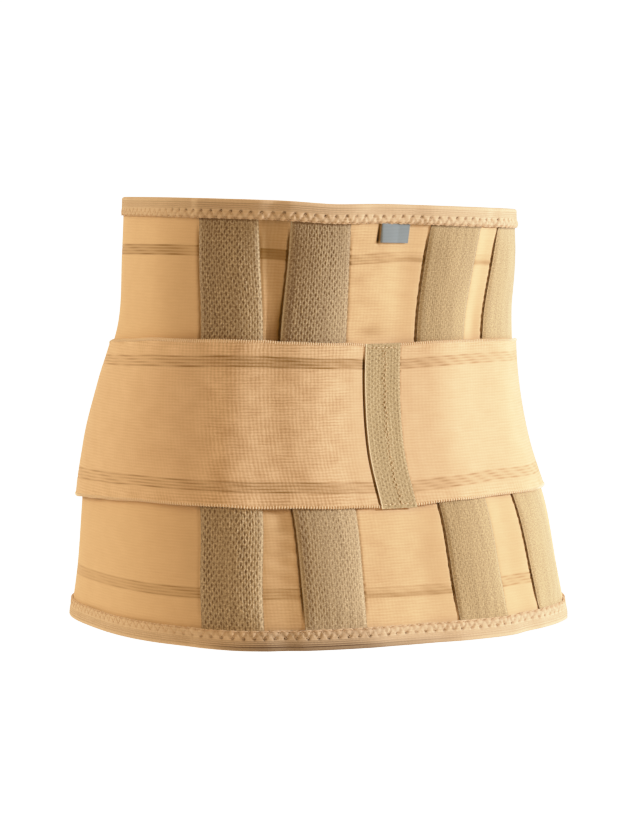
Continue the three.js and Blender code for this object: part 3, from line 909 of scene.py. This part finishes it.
def selvedge(across, width, cord):
    """1 on the cords along a tape's two sides."""
    inset = np.minimum(across, width - across)
    return 1 - smooth(inset, cord, 1.6 * cord)


# %% Relief and tone of a tape


def bare(level):
    """1 where a tape shows, 0 under the band and the bindings."""
    covered = stretch(level, -BAND_HALF, -BAND_COVER, BAND_COVER, BAND_HALF)
    return stretch(level, -124, -120, 122, 126) * (1 - covered)


def worn(across, level):
    """How far the knit stands up: smooth beside the edges and rubbed flatter in soft upright bands."""
    bands = 0.95 + 0.25 * np.sin(0.23 * across + 0.03 * level) * np.cos(0.045 * level + 0.6)
    return bands * (0.5 + 0.5 * smooth(across, 0.8, 3)) * (1 - 0.35 * smooth(across, 28, 35))


def channel_knit(across, level, above, below):
    """The knit about its mean height; its stitches are shorter above the band."""
    depth = below + (above - below) * smooth(level, -50, 50)
    return depth * worn(across, level) * (knit(across, level * (1 + 0.12 * (level > 0))) - KNIT_MEAN)


def channel_relief(across, level, above, below):
    """Relief of a tape's face: its knit, its beaded cords and the drop beside them."""
    edge = selvedge(across, CHANNEL_WIDTH, CORD)
    beads = 0.15 * wave(level, CORD_BEAD)
    inset = np.minimum(across, CHANNEL_WIDTH - across)
    drop = EDGE_DROP * hump(inset, 1.4)
    return bare(level) * ((1 - edge) * channel_knit(across, level, above, below) + edge * beads - drop)


def yarn_tone_and_painted_light(across, level, above, below, tone, lighter, lower, painted_shade_by_cord):
    """Lightness of the yarn: darker in the pits and paler on the threads as painted shade and highlight,
    lighter towards the right as painted light and below the band, with a band of painted shade by the left
    cord and a painted shadow under the top binding.
    """
    # painted shade beside the left cord, and a painted shadow under the top binding's free edge
    beside = painted_shade_by_cord * hump(across - 4.2, 1.3)
    under = 0.5 * hump(level - TOP_EDGE + BINDING_LEG + 0.4, 0.8)
    plain = tone + lighter * smooth(across, 8, 38) + lower * (1 - smooth(level, -30, 30)) - beside - under
    return plain + 0.95 * channel_knit(across, level, above, below)


def cord_pale_and_highlight(across, level, left, right):
    """How pale the cords are, partly paler yarn and partly a painted highlight; the right one is broken into
    beads and fades towards the band.
    """
    beads = 0.65 + 0.35 * wave(level, CORD_BEAD)
    shine = np.where(across > CHANNEL_WIDTH / 2, right * beads * (0.4 + 0.6 * smooth(level, 70, 95)), left)
    return selvedge(across, CHANNEL_WIDTH, CORD) * shine


print("knit", WALE, "by", COURSE, "mm")

# %% Channel tapes
TAPE_LOW, TAPE_HIGH = -130, 132
# side, ring, tape, first station, depth of the knit above and below the band, tone of the yarn, darker on the
# left tapes, which lie in shade (painted shade), how much lighter it is at the right (painted light) and
# below the band, how dark the painted shade by the left cord is, and how pale the two cords are (partly a
# painted highlight)
CHANNELS = (
    ("left", "outer", shaded_side_tape, -4, 0.74, 0.72, 0.25, 0.14, 0.08, 0, 0, 0.7),
    ("left", "inner", shaded_side_tape, -2, 0.54, 0.36, 0.23, 0.14, 0.13, 0.16, 0.32, 0),
    ("right", "inner", channel_tape, 1, 0.2, 0.2, 0.42, 0.08, 0.02, 0, 0.05, 0),
    ("right", "outer", channel_tape, 3, 0.12, 0.12, 0.57, 0.06, 0, 0, 0.05, 0),
)
# rows lie close together only where the band leaves the tape bare
tape_rows = np.concatenate([
    spaced(TAPE_LOW, -BAND_COVER, 0.56), spaced(-40, 40, 8), spaced(BAND_COVER, TAPE_HIGH, 0.56),
])
for side, ring, tape, first, above, below, tone, lighter, lower, painted_shade_by_cord, left, right in CHANNELS:
    piece = cloth_piece(
        f"channel_tape_{side}_{ring}", tape, spaced(0, CHANNEL_WIDTH, 0.36), tape_rows,
        lambda c, z: on_station(
            first + c / CHANNEL_WIDTH, z,
            channel_face(first + c / CHANNEL_WIDTH, z) + channel_relief(c, z, above, below)),
        spaced(0, CHANNEL_WIDTH, 3.9), spaced(TAPE_LOW, TAPE_HIGH, 6),
        lambda c, z: on_station(first + c / CHANNEL_WIDTH, z, SEAT),
        lambda c, z: (c, z),
        relief=lambda c, z: yarn_tone_and_painted_light(c, z, above, below, tone, lighter, lower, painted_shade_by_cord),
        selvedge=lambda c, z: cord_pale_and_highlight(c, z, left, right),
    )
    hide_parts(f"stay_channel_{side}_{ring}")

# %% [markdown]
# ## Outer band
# A second, narrower elastic is pulled round the middle to tighten the belt. It stretches over the channels,
# so their shape shows through softly. It has rib lines of its own, its edges are finely scalloped, and they
# wander a little: up over the left channels and down where the strip holds the band at the back centre.
# A cloth simulation could pull it tight. Elastic simply spans what lies under it, so easing its seat over a
# few millimetres gives the same form, and gives it again in each run.

# %% Course of the band
STRIP_HALF = 12.2
BAND_RIBS = {
    -37: (
        (-260, 0, 0.03, 0.42, 0), (-160, 0, 0.03, 0.53, 0), (-70, -0.9, 0.13, 0.5, 0),
        (9, -2.1, 0.15, 0.22, 0), (24, -2.2, 0.12, 0.28, 0), (80, 0, 0.11, 0.26, 0), (130, 0, 0.08, 0.22, 0),
    ),
    37: (
        (-235, -0.75, 0.04, 0.42, 0), (-155, 0, 0.04, 0.53, 0), (-97, 1, 0.17, 0.55, 0),
        (-60, 0.6, 0.3, 0.5, 0), (-24, 0, 0.24, 0.4, 0), (20, -0.5, 0.18, 0.28, 0), (47, 0.3, 0.18, 0.26, 0),
        (76, 1, 0.11, 0.22, 0), (118, 1.4, 0.08, 0.2, 0),
    ),
}
BAND_SETBACK = 22
BAND_FLARE = 2.2
# station, how far the upper edge wanders up there, and the lower edge
EDGE_WANDER = np.array([
    (-5, 0, 0),
    (-4.84, -2, 0),
    (-4.6, -5, -3),
    (-4.48, -3.6, -4.4),
    (-4.36, -0.8, -2.2),
    (-4.28, 0.4, -0.8),
    (-4.13, 2.8, 1.3),
    (-3.7, 3.3, 1.2),
    (-3, 2.7, 0),
    (-2, 1.7, 0),
    (-1.2, 0.3, -1),
    (0, -1.6, -2.2),
    (1.5, 0.2, 0.5),
    (2.5, 0, 1.2),
    (3.2, -0.3, 1.2),
    (4, -1.8, 1.2),
    (4.18, -5, 0.6),
    (4.6, -3, 0),
    (5, 0, 0),
])
END_CORNER = 12


def corner_cut(distance):
    """How much a rounded corner takes off at a distance from the end."""
    inside = np.clip(END_CORNER - distance, 0, END_CORNER)
    return END_CORNER - np.sqrt(END_CORNER ** 2 - inside ** 2)


def edge_wander(station, row):
    """Height that the nearer edge of the band wanders by, eased between the rows of the table."""
    at = EDGE_WANDER[:, 0]
    k = np.clip(np.searchsorted(at, station) - 1, 0, len(at) - 2)
    column = np.where(row > 0, 1, 2)
    before, after = EDGE_WANDER[k, column], EDGE_WANDER[k + 1, column]
    return before + (after - before) * smooth(station, at[k], at[k + 1])


def band_place(share, row):
    """Length along the girth and level of a point given as a share of the band's length and a row."""
    end = half_at(row) - BAND_SETBACK
    arc = share * end
    station = station_at(arc, row)
    near_edge = (np.abs(row) / BAND_HALF) ** 2
    level = row + near_edge * edge_wander(station, row)
    return arc, level * (1 - corner_cut((1 - np.abs(share)) * end) / BAND_HALF)


# %% Faces of the band


def strip_ditch(arc, row):
    """Depth of the valleys beside the strip: long at its left, short dashes at its right."""
    left = 1.3 * hump(arc + STRIP_HALF + 0.6, 0.75) * (1 - smooth(row, 36, 46))
    right = hump(arc - STRIP_HALF - 0.5, 0.6) * np.clip(wave(row, SEAM_STITCH), 0, 1)
    return left + 0.35 * right


def flare(arc, row):
    """The slack lower edge stands off the belt at the left side."""
    station = station_at(arc, row)
    return BAND_FLARE * smooth(-row, 20, 50) * stretch(-station, 4.2, 4.42, 4.6, 4.8)


def band_outer(share, row):
    arc, level = band_place(share, row)
    rolled = 0.35 * smooth(np.abs(row), BAND_HALF - 1.4, BAND_HALF) ** 2
    dents = rolled + RIB_DEPTH * rib_lines(arc, row, BAND_RIBS) + strip_ditch(arc, row)
    return on_belt(arc, level, band_face(arc, level) - dents + flare(arc, row))


def band_inner(share, row):
    arc, level = band_place(share, row)
    return on_belt(arc, level, band_face(arc, level) - BAND_THICK + flare(arc, row))


def band_lines_and_painted_shade(share, row):
    # the band's dark marks: its woven rib lines, and painted shade in the valley beside the strip, over the
    # left tapes and just left of the strip
    arc = band_place(share, row)[0]
    over_left = stretch(arc, -112, -80, -50, -14)
    shade_beside_strip = strip_ditch(arc, row) * (1 - smooth(np.abs(row), 48, 51))
    shade_left_of_strip = stretch(arc, -45, -30, -14, -8)
    return rib_stain(arc, row, BAND_RIBS) + shade_beside_strip + 0.1 * over_left + 0.07 * shade_left_of_strip


def band_ribbing(share, row):
    """The weave shows most where the band is stretched over the left tapes, and along its edges."""
    station = station_at(band_place(share, row)[0], row)
    over_left = stretch(station, -4.15, -3.6, -1.4, -0.5)
    return 0.06 + 0.27 * over_left + 0.12 * smooth(np.abs(row), 40, 47)


print("band", 2 * BAND_HALF, "mm wide")

# %% Band
edge_rows = np.array([0, 0.45, 0.9, 1.5])
inner_rows = rows_with_ribs(-BAND_HALF + 2.5, BAND_HALF - 2.5, 2.6, BAND_RIBS, reach=6, fine=0.4)
band_rows = np.concatenate([-BAND_HALF + edge_rows, inner_rows, BAND_HALF - edge_rows[::-1]])
# shares of the band's length, closest beside the strip
band_columns = np.unique(np.concatenate([
    spaced(-1, 1, 2 / 800), spaced(-0.046, -0.034, 0.0006), spaced(0.034, 0.044, 0.001),
]))
band_cloth = cloth_piece(
    "band_cloth", band_elastic, band_columns, band_rows, band_outer,
    band_columns[::4], spaced(-BAND_HALF, BAND_HALF, 10), band_inner,
    band_place, groove=band_lines_and_painted_shade, ribbing=band_ribbing,
)
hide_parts("outer_band")

# %% Loops of yarn along the band's edges
EDGE_LOOP = 1.6
loop_rows = BAND_HALF + np.array([-1.7, -0.9, -0.3, 0.1, 0.15])
loop_offsets = np.array([-0.1, 0.12, 0, -0.5, -1])
loops = []
for hand in (-1, 1):
    span = half_at(0) - BAND_SETBACK
    shares = np.arange(-span + END_CORNER, span - END_CORNER, EDGE_LOOP)[:, None] / span
    arcs, levels = band_place(shares, hand * loop_rows + 0 * shares)
    heights = band_face(arcs, levels) + loop_offsets + flare(arcs, hand * loop_rows)
    loops.append(on_belt(arcs, levels, heights))
band_edge_loops = thread_piece("band_edge_loops", pale_thread, np.concatenate(loops), radius=0.42, sides=5)

# %% [markdown]
# ## Centre strip
# A short length of lighter tape is sewn over the band at the back centre. A chain stitch runs up its middle,
# a row of stitches crosses each end, and its seam pulls the band in at the left, where a dark line of painted
# shade runs along it.
# It could be drawn on the band, but as a sheet of its own it has edges that catch the light.

# %% Strip
STRIP_LOW, STRIP_HIGH = -52.6, 49.4
STRIP_WALE, STRIP_COURSE = 2.2, 3.2
STRIP_SEAT, STRIP_THICK = 0.1, 0.8


def strip_base(arc, level):
    return band_face(arc, level) + STRIP_SEAT


def strip_face(arc, level):
    """The strip's outer face with its knit and cords, pressed flat at both ends."""
    across = arc + STRIP_HALF
    edge = selvedge(across, 2 * STRIP_HALF, 0.7)
    ends = stretch(level, STRIP_LOW, STRIP_LOW + 2, STRIP_HIGH - 2, STRIP_HIGH)
    fabric = knit(across, level, STRIP_WALE, STRIP_COURSE)
    beads = 0.12 * wave(level, 2.2)
    relief = (1 - edge) * 0.4 * (fabric - 0.4) + edge * (beads - 0.1)
    return strip_base(arc, level) + STRIP_THICK + relief * ends - 0.3 * (1 - ends)


def strip_cord(arc, level):
    """How pale the strip's cords are: the left one throughout, the right one in beads."""
    shine = np.where(arc < 0, 0.95, 0.25 + 0.3 * np.sin(3 * level))
    return selvedge(arc + STRIP_HALF, 2 * STRIP_HALF, CORD) * shine


# the strip's relief attribute paints its knit pits darker and its threads paler: painted shade and painted
# highlight
strip_cloth = cloth_piece(
    "strip_cloth", strip_tape, spaced(-STRIP_HALF, STRIP_HALF, 0.45), spaced(STRIP_LOW, STRIP_HIGH, 0.45),
    lambda c, z: on_belt(c, z, strip_face(c, z)),
    spaced(-STRIP_HALF, STRIP_HALF, 3), spaced(STRIP_LOW, STRIP_HIGH, 6),
    lambda c, z: on_belt(c, z, strip_base(c, z)),
    lambda c, z: (c, z),
    relief=lambda c, z: 0.45 + 0.28 * (knit(c + STRIP_HALF, z, STRIP_WALE, STRIP_COURSE) - KNIT_MEAN),
    selvedge=strip_cord,
)
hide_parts("centre_strip")

# %% Stitches of the strip
CHAIN_STITCH = 3.4
along = np.linspace(0, 1, 9)
starts = np.arange(STRIP_LOW + 3, STRIP_HIGH - 5, CHAIN_STITCH)
chain = []
for shift, drift in ((0, 0.5), (CHAIN_STITCH / 2, -0.5)):
    levels = starts[:, None] + shift + along * 1.5
    arcs = 1.5 + drift + 0.5 * np.sin(0.4 * levels) + 0.6 * drift * along
    chain.append(on_belt(arcs, levels, strip_face(arcs, levels) + 0.25 * np.sin(np.pi * along)))
for level in (STRIP_LOW + 2.6, STRIP_HIGH - 2.6):
    arcs = np.arange(-STRIP_HALF + 1.5, STRIP_HALF - 2.5, 3)[:, None] + along * 2.1
    levels = level + 0 * arcs
    chain.append(on_belt(arcs, levels, strip_face(arcs, levels) + 0.1 + 0.25 * np.sin(np.pi * along)))
strip_stitches = thread_piece("strip_stitches", tan_thread, np.concatenate(chain), radius=0.32)

# %% [markdown]
# ## Bindings
# Each long edge is wrapped in the folded binding. Its section is a narrow U: the outer leg, the fold and the
# inner leg, each row of the grid at one distance along that path. The free edge is scalloped by the zigzag
# that pulls it, and the needle has left a hole at every inner turn of the thread. A curve with a profile
# would give the U as well, but a grid can also carry the puffs and pits between the stitches.

# %% How the stitches draw the binding in
FOLD = 5
BINDING_PATH = 2 * BINDING_LEG + FOLD
BINDING_THICK = 1
ZIGZAG = 6.5
HOLE_ROW = 4.6


def binding_seat(station):
    """Where the binding rests: it steps up over the tapes' ends."""
    size = np.abs(station)
    over = smooth(size, 0.4, 1) * (1 - smooth(size, 4, 4.03))
    between = np.where((size > 2) & (size < 3), np.sin(np.pi * (size - 2)) ** 2, 0)
    return SEAT + (CHANNEL_THICK + SEAT) * over * (1 - between)


def pulled(arc):
    """How hard the stitches draw the binding in: fully at the back, lightly round the sides and the front."""
    return 0.18 + 0.82 * stretch(arc, -170, -110, 125, 145)


def needle_holes(arc, from_edge):
    """Pits where the needle went in: a row inside the tape and one at its free edge, half a stitch on."""
    pits = np.zeros(np.shape(arc))
    for start, row, wide, tall, full in ((0, HOLE_ROW, 0.6, 0.7, 1), (0.5, 0.1, 0.9, 0.7, 0.5)):
        turn = np.round(arc / ZIGZAG - start)
        stray = np.sin(7.3 * turn + 4 * row)
        away = arc - (turn + start) * ZIGZAG - 0.45 * stray
        size = 1 + 0.25 * np.sin(3.1 * turn + row)
        pits = pits + full * size * spot(away, from_edge, 0, row + 0.2 * stray, wide, tall)
    return pits * pulled(arc)


def zigzag_pull(arc, from_edge):
    """1 along the thread's zigzag, which draws the cloth in, and 0 on the puffs between."""
    height = HOLE_ROW * np.abs(2 * (arc / ZIGZAG - np.round(arc / ZIGZAG - 0.5) - 0.5))
    line = hump((from_edge - height) * 0.55, 0.6)
    return pulled(arc) * line * (1 - smooth(from_edge, HOLE_ROW, HOLE_ROW + 0.8))


def cords(path):
    """Low cords along the binding between the stitches and the fold."""
    return stretch(path, 5.4, 6, 9.6, 10.6) * wave(path, 1.2)


def binding_painted_shade(arc, path, up):
    """Painted shade: dark needle holes, shade where the thread pulls, lines in the hollows between the cords,
    and a darker lower fold, which faces down.
    """
    below = up < 0
    left = stretch(arc, -140, -115, -45, -30)
    # painted shade in the needle holes, along the pulled zigzag and in the hollows between the cords
    holes = (0.82 + 0.18 * up + 0.25 * left - 0.2 * smooth(arc, -20, 20)) * needle_holes(arc, path)
    lines = (0.35 + (0.45 if below else 0.2) * left) * np.clip(-cords(path), 0, 1)
    # painted shade on the lower binding's fold, which faces down
    fold = 0.45 * below * stretch(arc, -140, -115, -20, 60) * smooth(path, 7, 11)
    pull = (0.12 + 0.16 * np.maximum(left, smooth(arc, 0, 50))) * zigzag_pull(arc, path)
    shade = np.clip(holes + pull + lines, 0, 1)
    return np.where(path < BINDING_LEG, shade, 0) + fold


def left_binding_painted_shade(arc, up):
    """Painted shade: the lower binding is darker below the left tapes, and the top one round the left side.
    """
    left = stretch(arc, -120, -95, -35, -10)
    return 0.2 * (up < 0) * left + 0.08 * (up > 0) * (1 - smooth(arc, -130, -100))


print("zigzag stitch", ZIGZAG, "mm")

# %% Section of the folded binding


def binding_point(station, path, edge, up, outside):
    """Path runs from the outer leg's free edge over the fold to the inner leg's free edge."""
    turn_angle = np.clip((path - BINDING_LEG) / FOLD, 0, 1) * np.pi
    leg = np.minimum(np.minimum(path, BINDING_PATH - path), BINDING_LEG)
    base = edge - up * BINDING_LEG + up * leg
    arc = arc_at(station, base)
    scallop = 0.5 * pulled(arc) * np.cos(4 * np.pi * arc / ZIGZAG) * (1 - smooth(path, 0, 1.6))
    reach = BINDING_THICK if outside else 0
    rise = up * np.sin(turn_angle) * (reach + SEAT - 0.1)
    near = binding_seat(station) + reach
    far = np.minimum(panel_face(station, base), 0) - PANEL_THICK - SEAT - reach
    share = (1 - np.cos(turn_angle)) / 2
    offset = near + (far - near) * share
    if outside:
        on_leg = path < BINDING_LEG
        uneven = 1 + 0.3 * np.sin(1.7 * arc) * np.sin(0.37 * arc)
        puff = 0.8 * pulled(arc) * uneven * np.sin(np.pi * np.clip(path / HOLE_ROW, 0, 1))
        right = smooth(arc, -75, -45)
        fluff = np.sin(2 * np.pi * arc / 3.1 + 2 * np.sin(0.7 * path))
        fluff = fluff * np.sin(2 * np.pi * path / 2.9 + 1.7 * np.sin(arc / 2.3))
        puff = puff + 0.22 * right * fluff * (1 - smooth(path, 5, 6))
        pull = (0.75 - 0.25 * right) * zigzag_pull(arc, path)
        dents = 0.9 * needle_holes(arc, path) + pull - puff - 0.14 * cords(path)
        dents = dents + 0.3 * (1 - smooth(path, 0, 1))
        offset = offset - np.where(on_leg, dents, 0)
    return on_belt(arc, base + rise - up * scallop, offset)


# %% Bindings and their zigzag stitches
binding_path = np.concatenate([
    np.array([0, 0.4, 0.9, 1.5, 2.2, 2.9, 3.5, 4.1, 4.7, 5.3, 5.9]), spaced(6.3, 10.6, 0.4),
    spaced(BINDING_LEG, BINDING_LEG + FOLD, 0.7), BINDING_PATH - np.array([10, 8, 5, 2, 0]),
])
binding_stations = mirrored(np.concatenate([
    spaced(0, 1, 0.029)[:-1], 1 + spaced(0, 1, 0.021)[:-1], 2 + spaced(0, 1, 0.04)[:-1],
    3 + spaced(0, 1, 0.021)[:-1], 4 + spaced(0, 1, 0.0031),
]))
bindings = []
stitch_along = np.linspace(0, 1, 8)
for name, edge, up in (("top", TOP_EDGE, 1), ("bottom", BOTTOM_EDGE, -1)):
    # rows run upwards on the outer leg, so the bottom binding's path is walked the other way
    path = binding_path if up > 0 else BINDING_PATH - binding_path[::-1]
    place = (lambda p: p) if up > 0 else (lambda p: BINDING_PATH - p)
    piece = cloth_piece(
        f"{name}_binding_tape", binding_elastic, binding_stations, path,
        lambda s, p: binding_point(s, place(p), edge, up, True),
        binding_stations[::8], BINDING_PATH * np.array([0, 0.37, 0.44, 0.5, 0.56, 0.63, 1]),
        lambda s, p: binding_point(s, place(p), edge, up, False),
        lambda s, p: (arc_at(s, edge + 0 * p), place(p)),
        groove=lambda s, p: binding_painted_shade(arc_at(s, edge - up * (BINDING_LEG - place(p))), place(p), up)
        + left_binding_painted_shade(arc_at(s, edge + 0 * p), up),
        ribbing=lambda s, p: 0.08 + 0 * p,
    )
    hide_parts(f"{name}_binding")
    free = edge - up * BINDING_LEG
    reach = half_at(edge) - END_GAP / 2 - ZIGZAG
    turns = np.arange(-int(reach / ZIGZAG), int(reach / ZIGZAG)) * ZIGZAG
    legs = []
    for start, stop, low, high in ((0, 0.5, HOLE_ROW, 0.2), (0.5, 1, 0.2, HOLE_ROW)):
        arcs = turns[:, None] + ZIGZAG * (start + (stop - start) * stitch_along)
        levels = free + up * (low + (high - low) * stitch_along) + 0 * arcs
        bend = np.sin(np.pi * stitch_along)
        top = binding_seat(station_at(arcs, levels)) + BINDING_THICK
        legs.append(on_belt(arcs, levels, top - 0.15 + 0.2 * bend))
        # the thread lies along the free edge between two turns
        arcs = turns[:, None] + ZIGZAG * (start + 0.05 + 0.4 * stitch_along)
        levels = free + up * 0.15 + 0 * arcs
        top = binding_seat(station_at(arcs, levels)) + BINDING_THICK
        legs.append(on_belt(arcs, levels, top - 0.3 + 0.5 * bend))
    stitches = thread_piece(f"{name}_zigzag_stitches", beige_thread, np.concatenate(legs), radius=0.2)
    bindings += [piece, stitches]

# %% [markdown]
# ## Label
# A small tab of satin is caught under the top binding just right of the back centre. It is stiff, so its
# left side stands off the belt, and the panel folds in beside it; the fold is also painted dark with painted
# shade. A flat box would do from far away. A small grid can bend.

# %% Label
LABEL_LIFT = 1.2
LABEL_THICK = 0.6


def label_base(arc, level):
    """The label's back, which stands off more and more to the left and downwards."""
    across = (arc - LABEL_LEFT) / (LABEL_RIGHT - LABEL_LEFT)
    down = (LABEL_TOP - level) / LABEL_HEIGHT
    lift = LABEL_LIFT * (1 - across) * (0.4 + 0.6 * down) + 0.25 * np.sin(np.pi * across) * down
    return np.maximum(panel_face(station_at(arc, level), level), -0.9) + SEAT + lift


label_cloth = cloth_piece(
    "label_cloth", label_satin, spaced(LABEL_LEFT, LABEL_RIGHT, 0.6),
    spaced(LABEL_TOP - LABEL_HEIGHT, LABEL_TOP, 0.6),
    lambda c, z: on_belt(c, z, label_base(c, z) + LABEL_THICK),
    spaced(LABEL_LEFT, LABEL_RIGHT, 2.5), spaced(LABEL_TOP - LABEL_HEIGHT, LABEL_TOP, 3),
    lambda c, z: on_belt(c, z, label_base(c, z)),
    lambda c, z: (c, z),
)
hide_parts("label")

# %% [markdown]
# ## Front closure
# The belt's two ends meet at the front under one plain panel of loop velour, and the band's ends fasten on
# it. A running stitch goes round its border. Hair could grow the pile, but its loops are only a millimetre
# across, so the material draws them.

# %% Closure panel
CLOSURE_HALF_HEIGHT = 112
BORDER = 4


def closure_place(across, up):
    """Length along the girth and level of a point of the closure."""
    cut = corner_cut(CLOSURE_HALF_WIDTH - np.abs(across))
    level = up * (CLOSURE_HALF_HEIGHT - cut)
    return half_at(level) + across, level


def closure_face(across, up, raised=0):
    arc, level = closure_place(across, up)
    inset = np.minimum(CLOSURE_HALF_WIDTH - np.abs(across), (1 - np.abs(up)) * CLOSURE_HALF_HEIGHT)
    edge = 0.7 * (1 - smooth(inset, 0, 2)) + 0.35 * hump(inset - BORDER, 0.9)
    return on_belt(arc, level, SEAT + CLOSURE_THICK - edge + raised)


side_insets = np.array([0, 0.3, 0.8, 1.6, 2.6, 3.4, 4, 4.6, 5.6, 7, 9, 11])
end_insets = np.array([0, 0.5, 1.2, 2.4, 3.4, 4, 4.6, 5.6, 8]) / CLOSURE_HALF_HEIGHT
closure_columns = np.concatenate([
    -CLOSURE_HALF_WIDTH + side_insets, spaced(-32, 32, 2), CLOSURE_HALF_WIDTH - side_insets[::-1],
])
closure_rows = np.concatenate([-1 + end_insets, spaced(-0.9, 0.9, 0.025), 1 - end_insets[::-1]])
closure_cloth = cloth_piece(
    "closure_cloth", loop_velour, closure_columns, closure_rows, closure_face,
    spaced(-CLOSURE_HALF_WIDTH, CLOSURE_HALF_WIDTH, 7.5), spaced(-1, 1, 0.05),
    lambda c, u: on_belt(*closure_place(c, u), SEAT), closure_place,
)
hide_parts("front_closure")

# %% Running stitch round the closure
STITCH, STITCH_PITCH = 3, 4.5
raised = 0.3 * np.sin(np.pi * stitch_along)
border = []
for hand in (-1, 1):
    ups = (np.arange(-98, 95, STITCH_PITCH)[:, None] + STITCH * stitch_along) / CLOSURE_HALF_HEIGHT
    border.append(closure_face(hand * (CLOSURE_HALF_WIDTH - BORDER) + 0 * ups, ups, raised))
    acrosses = np.arange(-31, 29, STITCH_PITCH)[:, None] + STITCH * stitch_along
    border.append(closure_face(acrosses, hand * (1 - BORDER / CLOSURE_HALF_HEIGHT) + 0 * acrosses, raised))
closure_stitches = thread_piece("closure_stitches", beige_thread, np.concatenate(border), radius=0.3)

# %% [markdown]
# ## The cloth
# The elastic was cut shorter than it measures here, because it is stretched on the body.

# %% [markdown]
# ## Stage
# The belt is shown held up in its worn form, over a plain white floor that lies below the picture. A light
# from the right is the key, and a larger, weaker and warmer one beyond the left side opens the shadows. The
# rest is filled by a warm surround that is darker below. The camera alone sees it as plain white. A picture
# of a studio could light the belt too, but these few values are easier to change.

# %% Floor
FLOOR = -0.6
floor_mesh = bpy.data.meshes.new("floor")
floor_mesh.from_pydata([(-1, -1, FLOOR), (1, -1, FLOOR), (1, 1, FLOOR), (-1, 1, FLOOR)], [], [(0, 1, 2, 3)])
floor_paint, tree = new_material("matt_white_paint")
shader = put(tree, "BsdfPrincipled", {"Base Color": linear("#FAFAF8"), "Roughness": 0.95})
put(tree, "OutputMaterial", links={"Surface": shader[0]})
floor_mesh.materials.append(floor_paint)
floor = bpy.data.objects.new("floor", floor_mesh)
bpy.context.scene.collection.objects.link(floor)
print("floor at", FLOOR, "m")

# %% Surround
# light from below and from above, and what the camera sees, as amounts of red, green and blue light
FROM_BELOW, FROM_ABOVE, WHITE = (0.36, 0.27, 0.2, 1), (0.92, 0.74, 0.54, 1), (1.45, 1.45, 1.45, 1)
world = bpy.data.worlds.new("warm_surround")
world.use_nodes = True
tree = world.node_tree
tree.nodes.clear()
toward = put(tree, "TexCoord")
height = put(tree, "SeparateXYZ", links={0: toward["Generated"]})
upper = put(tree, "MapRange", {1: -1, 2: 1}, {0: height["Z"]})
shade = put(tree, "Mix", {6: FROM_BELOW, 7: FROM_ABOVE}, {0: upper[0]}, data_type="RGBA")
fill = put(tree, "Background", links={"Color": shade[2]})
backdrop = put(tree, "Background", {"Color": WHITE})
ray = put(tree, "LightPath")
mixed = put(tree, "MixShader", links={0: ray["Is Camera Ray"], 1: fill[0], 2: backdrop[0]})
put(tree, "OutputWorld", links={"Surface": mixed[0]})
bpy.context.scene.world = world
print("surround", world.name)

# %% Lights
# name, place in metres, side of the square in metres, watts, amounts of red, green and blue
for name, place, size, power, colour in (
    ("key_light", (1.82, -1.2, 0.5), 0.35, 52, (1, 1.15, 1.39)),
    ("left_light", (-1.27, 1.54, 0.6), 0.8, 25, (1, 0.95, 0.76)),
):
    lamp = bpy.data.lights.new(name, "AREA")
    lamp.size = size
    lamp.energy = power
    lamp.color = colour
    light = bpy.data.objects.new(name, lamp)
    light.location = place
    aim = -np.array(place)
    tilt = np.arctan2(np.hypot(aim[0], aim[1]), -aim[2])
    light.rotation_euler = (tilt, 0, np.arctan2(aim[1], aim[0]) - np.pi / 2)
    bpy.context.scene.collection.objects.link(light)
    print(name, power, "W")

# %% [markdown]
# ## Camera
# The camera stands behind the belt and to its left, a little above it and tipped down, with a long lens.
# Film rolls off its brightest tones instead of clipping them, and a curve in the view settings does that.

# %% Camera and tones
CAMERA_TURN, CAMERA_PAN, CAMERA_TIP = 25.46, 0.159, 4.515
CAMERA_DISTANCE, CAMERA_HEIGHT = 1.8777, 0.1481
SENSOR = 24
# focal length over the height of the picture
LENS_SHARE = 2833.6 / 820
WHITE_LEVEL = 1.4
camera_data = bpy.data.cameras.new("camera")
camera_data.sensor_fit = "VERTICAL"
camera_data.sensor_height = SENSOR
camera_data.lens = SENSOR * LENS_SHARE
camera = bpy.data.objects.new("camera", camera_data)
heading = np.radians(CAMERA_TURN)
camera.location = (-np.sin(heading) * CAMERA_DISTANCE, -np.cos(heading) * CAMERA_DISTANCE, CAMERA_HEIGHT)
camera.rotation_euler = (np.radians(90 - CAMERA_TIP), 0, -np.radians(CAMERA_TURN + CAMERA_PAN))
bpy.context.scene.collection.objects.link(camera)
bpy.context.scene.camera = camera
view = bpy.context.scene.view_settings
view.view_transform = "Standard"
view.use_curve_mapping = True
view.curve_mapping.white_level = [WHITE_LEVEL] * 3
# the fourth curve acts on all three colours
tone = view.curve_mapping.curves[3]
for light_in, shown in ((0.5, 0.5), (0.7, 0.69), (0.9, 0.845), (1.1, 0.935)):
    tone.points.new(light_in / WHITE_LEVEL, shown)
view.curve_mapping.update()
print("lens", round(camera_data.lens), "mm")
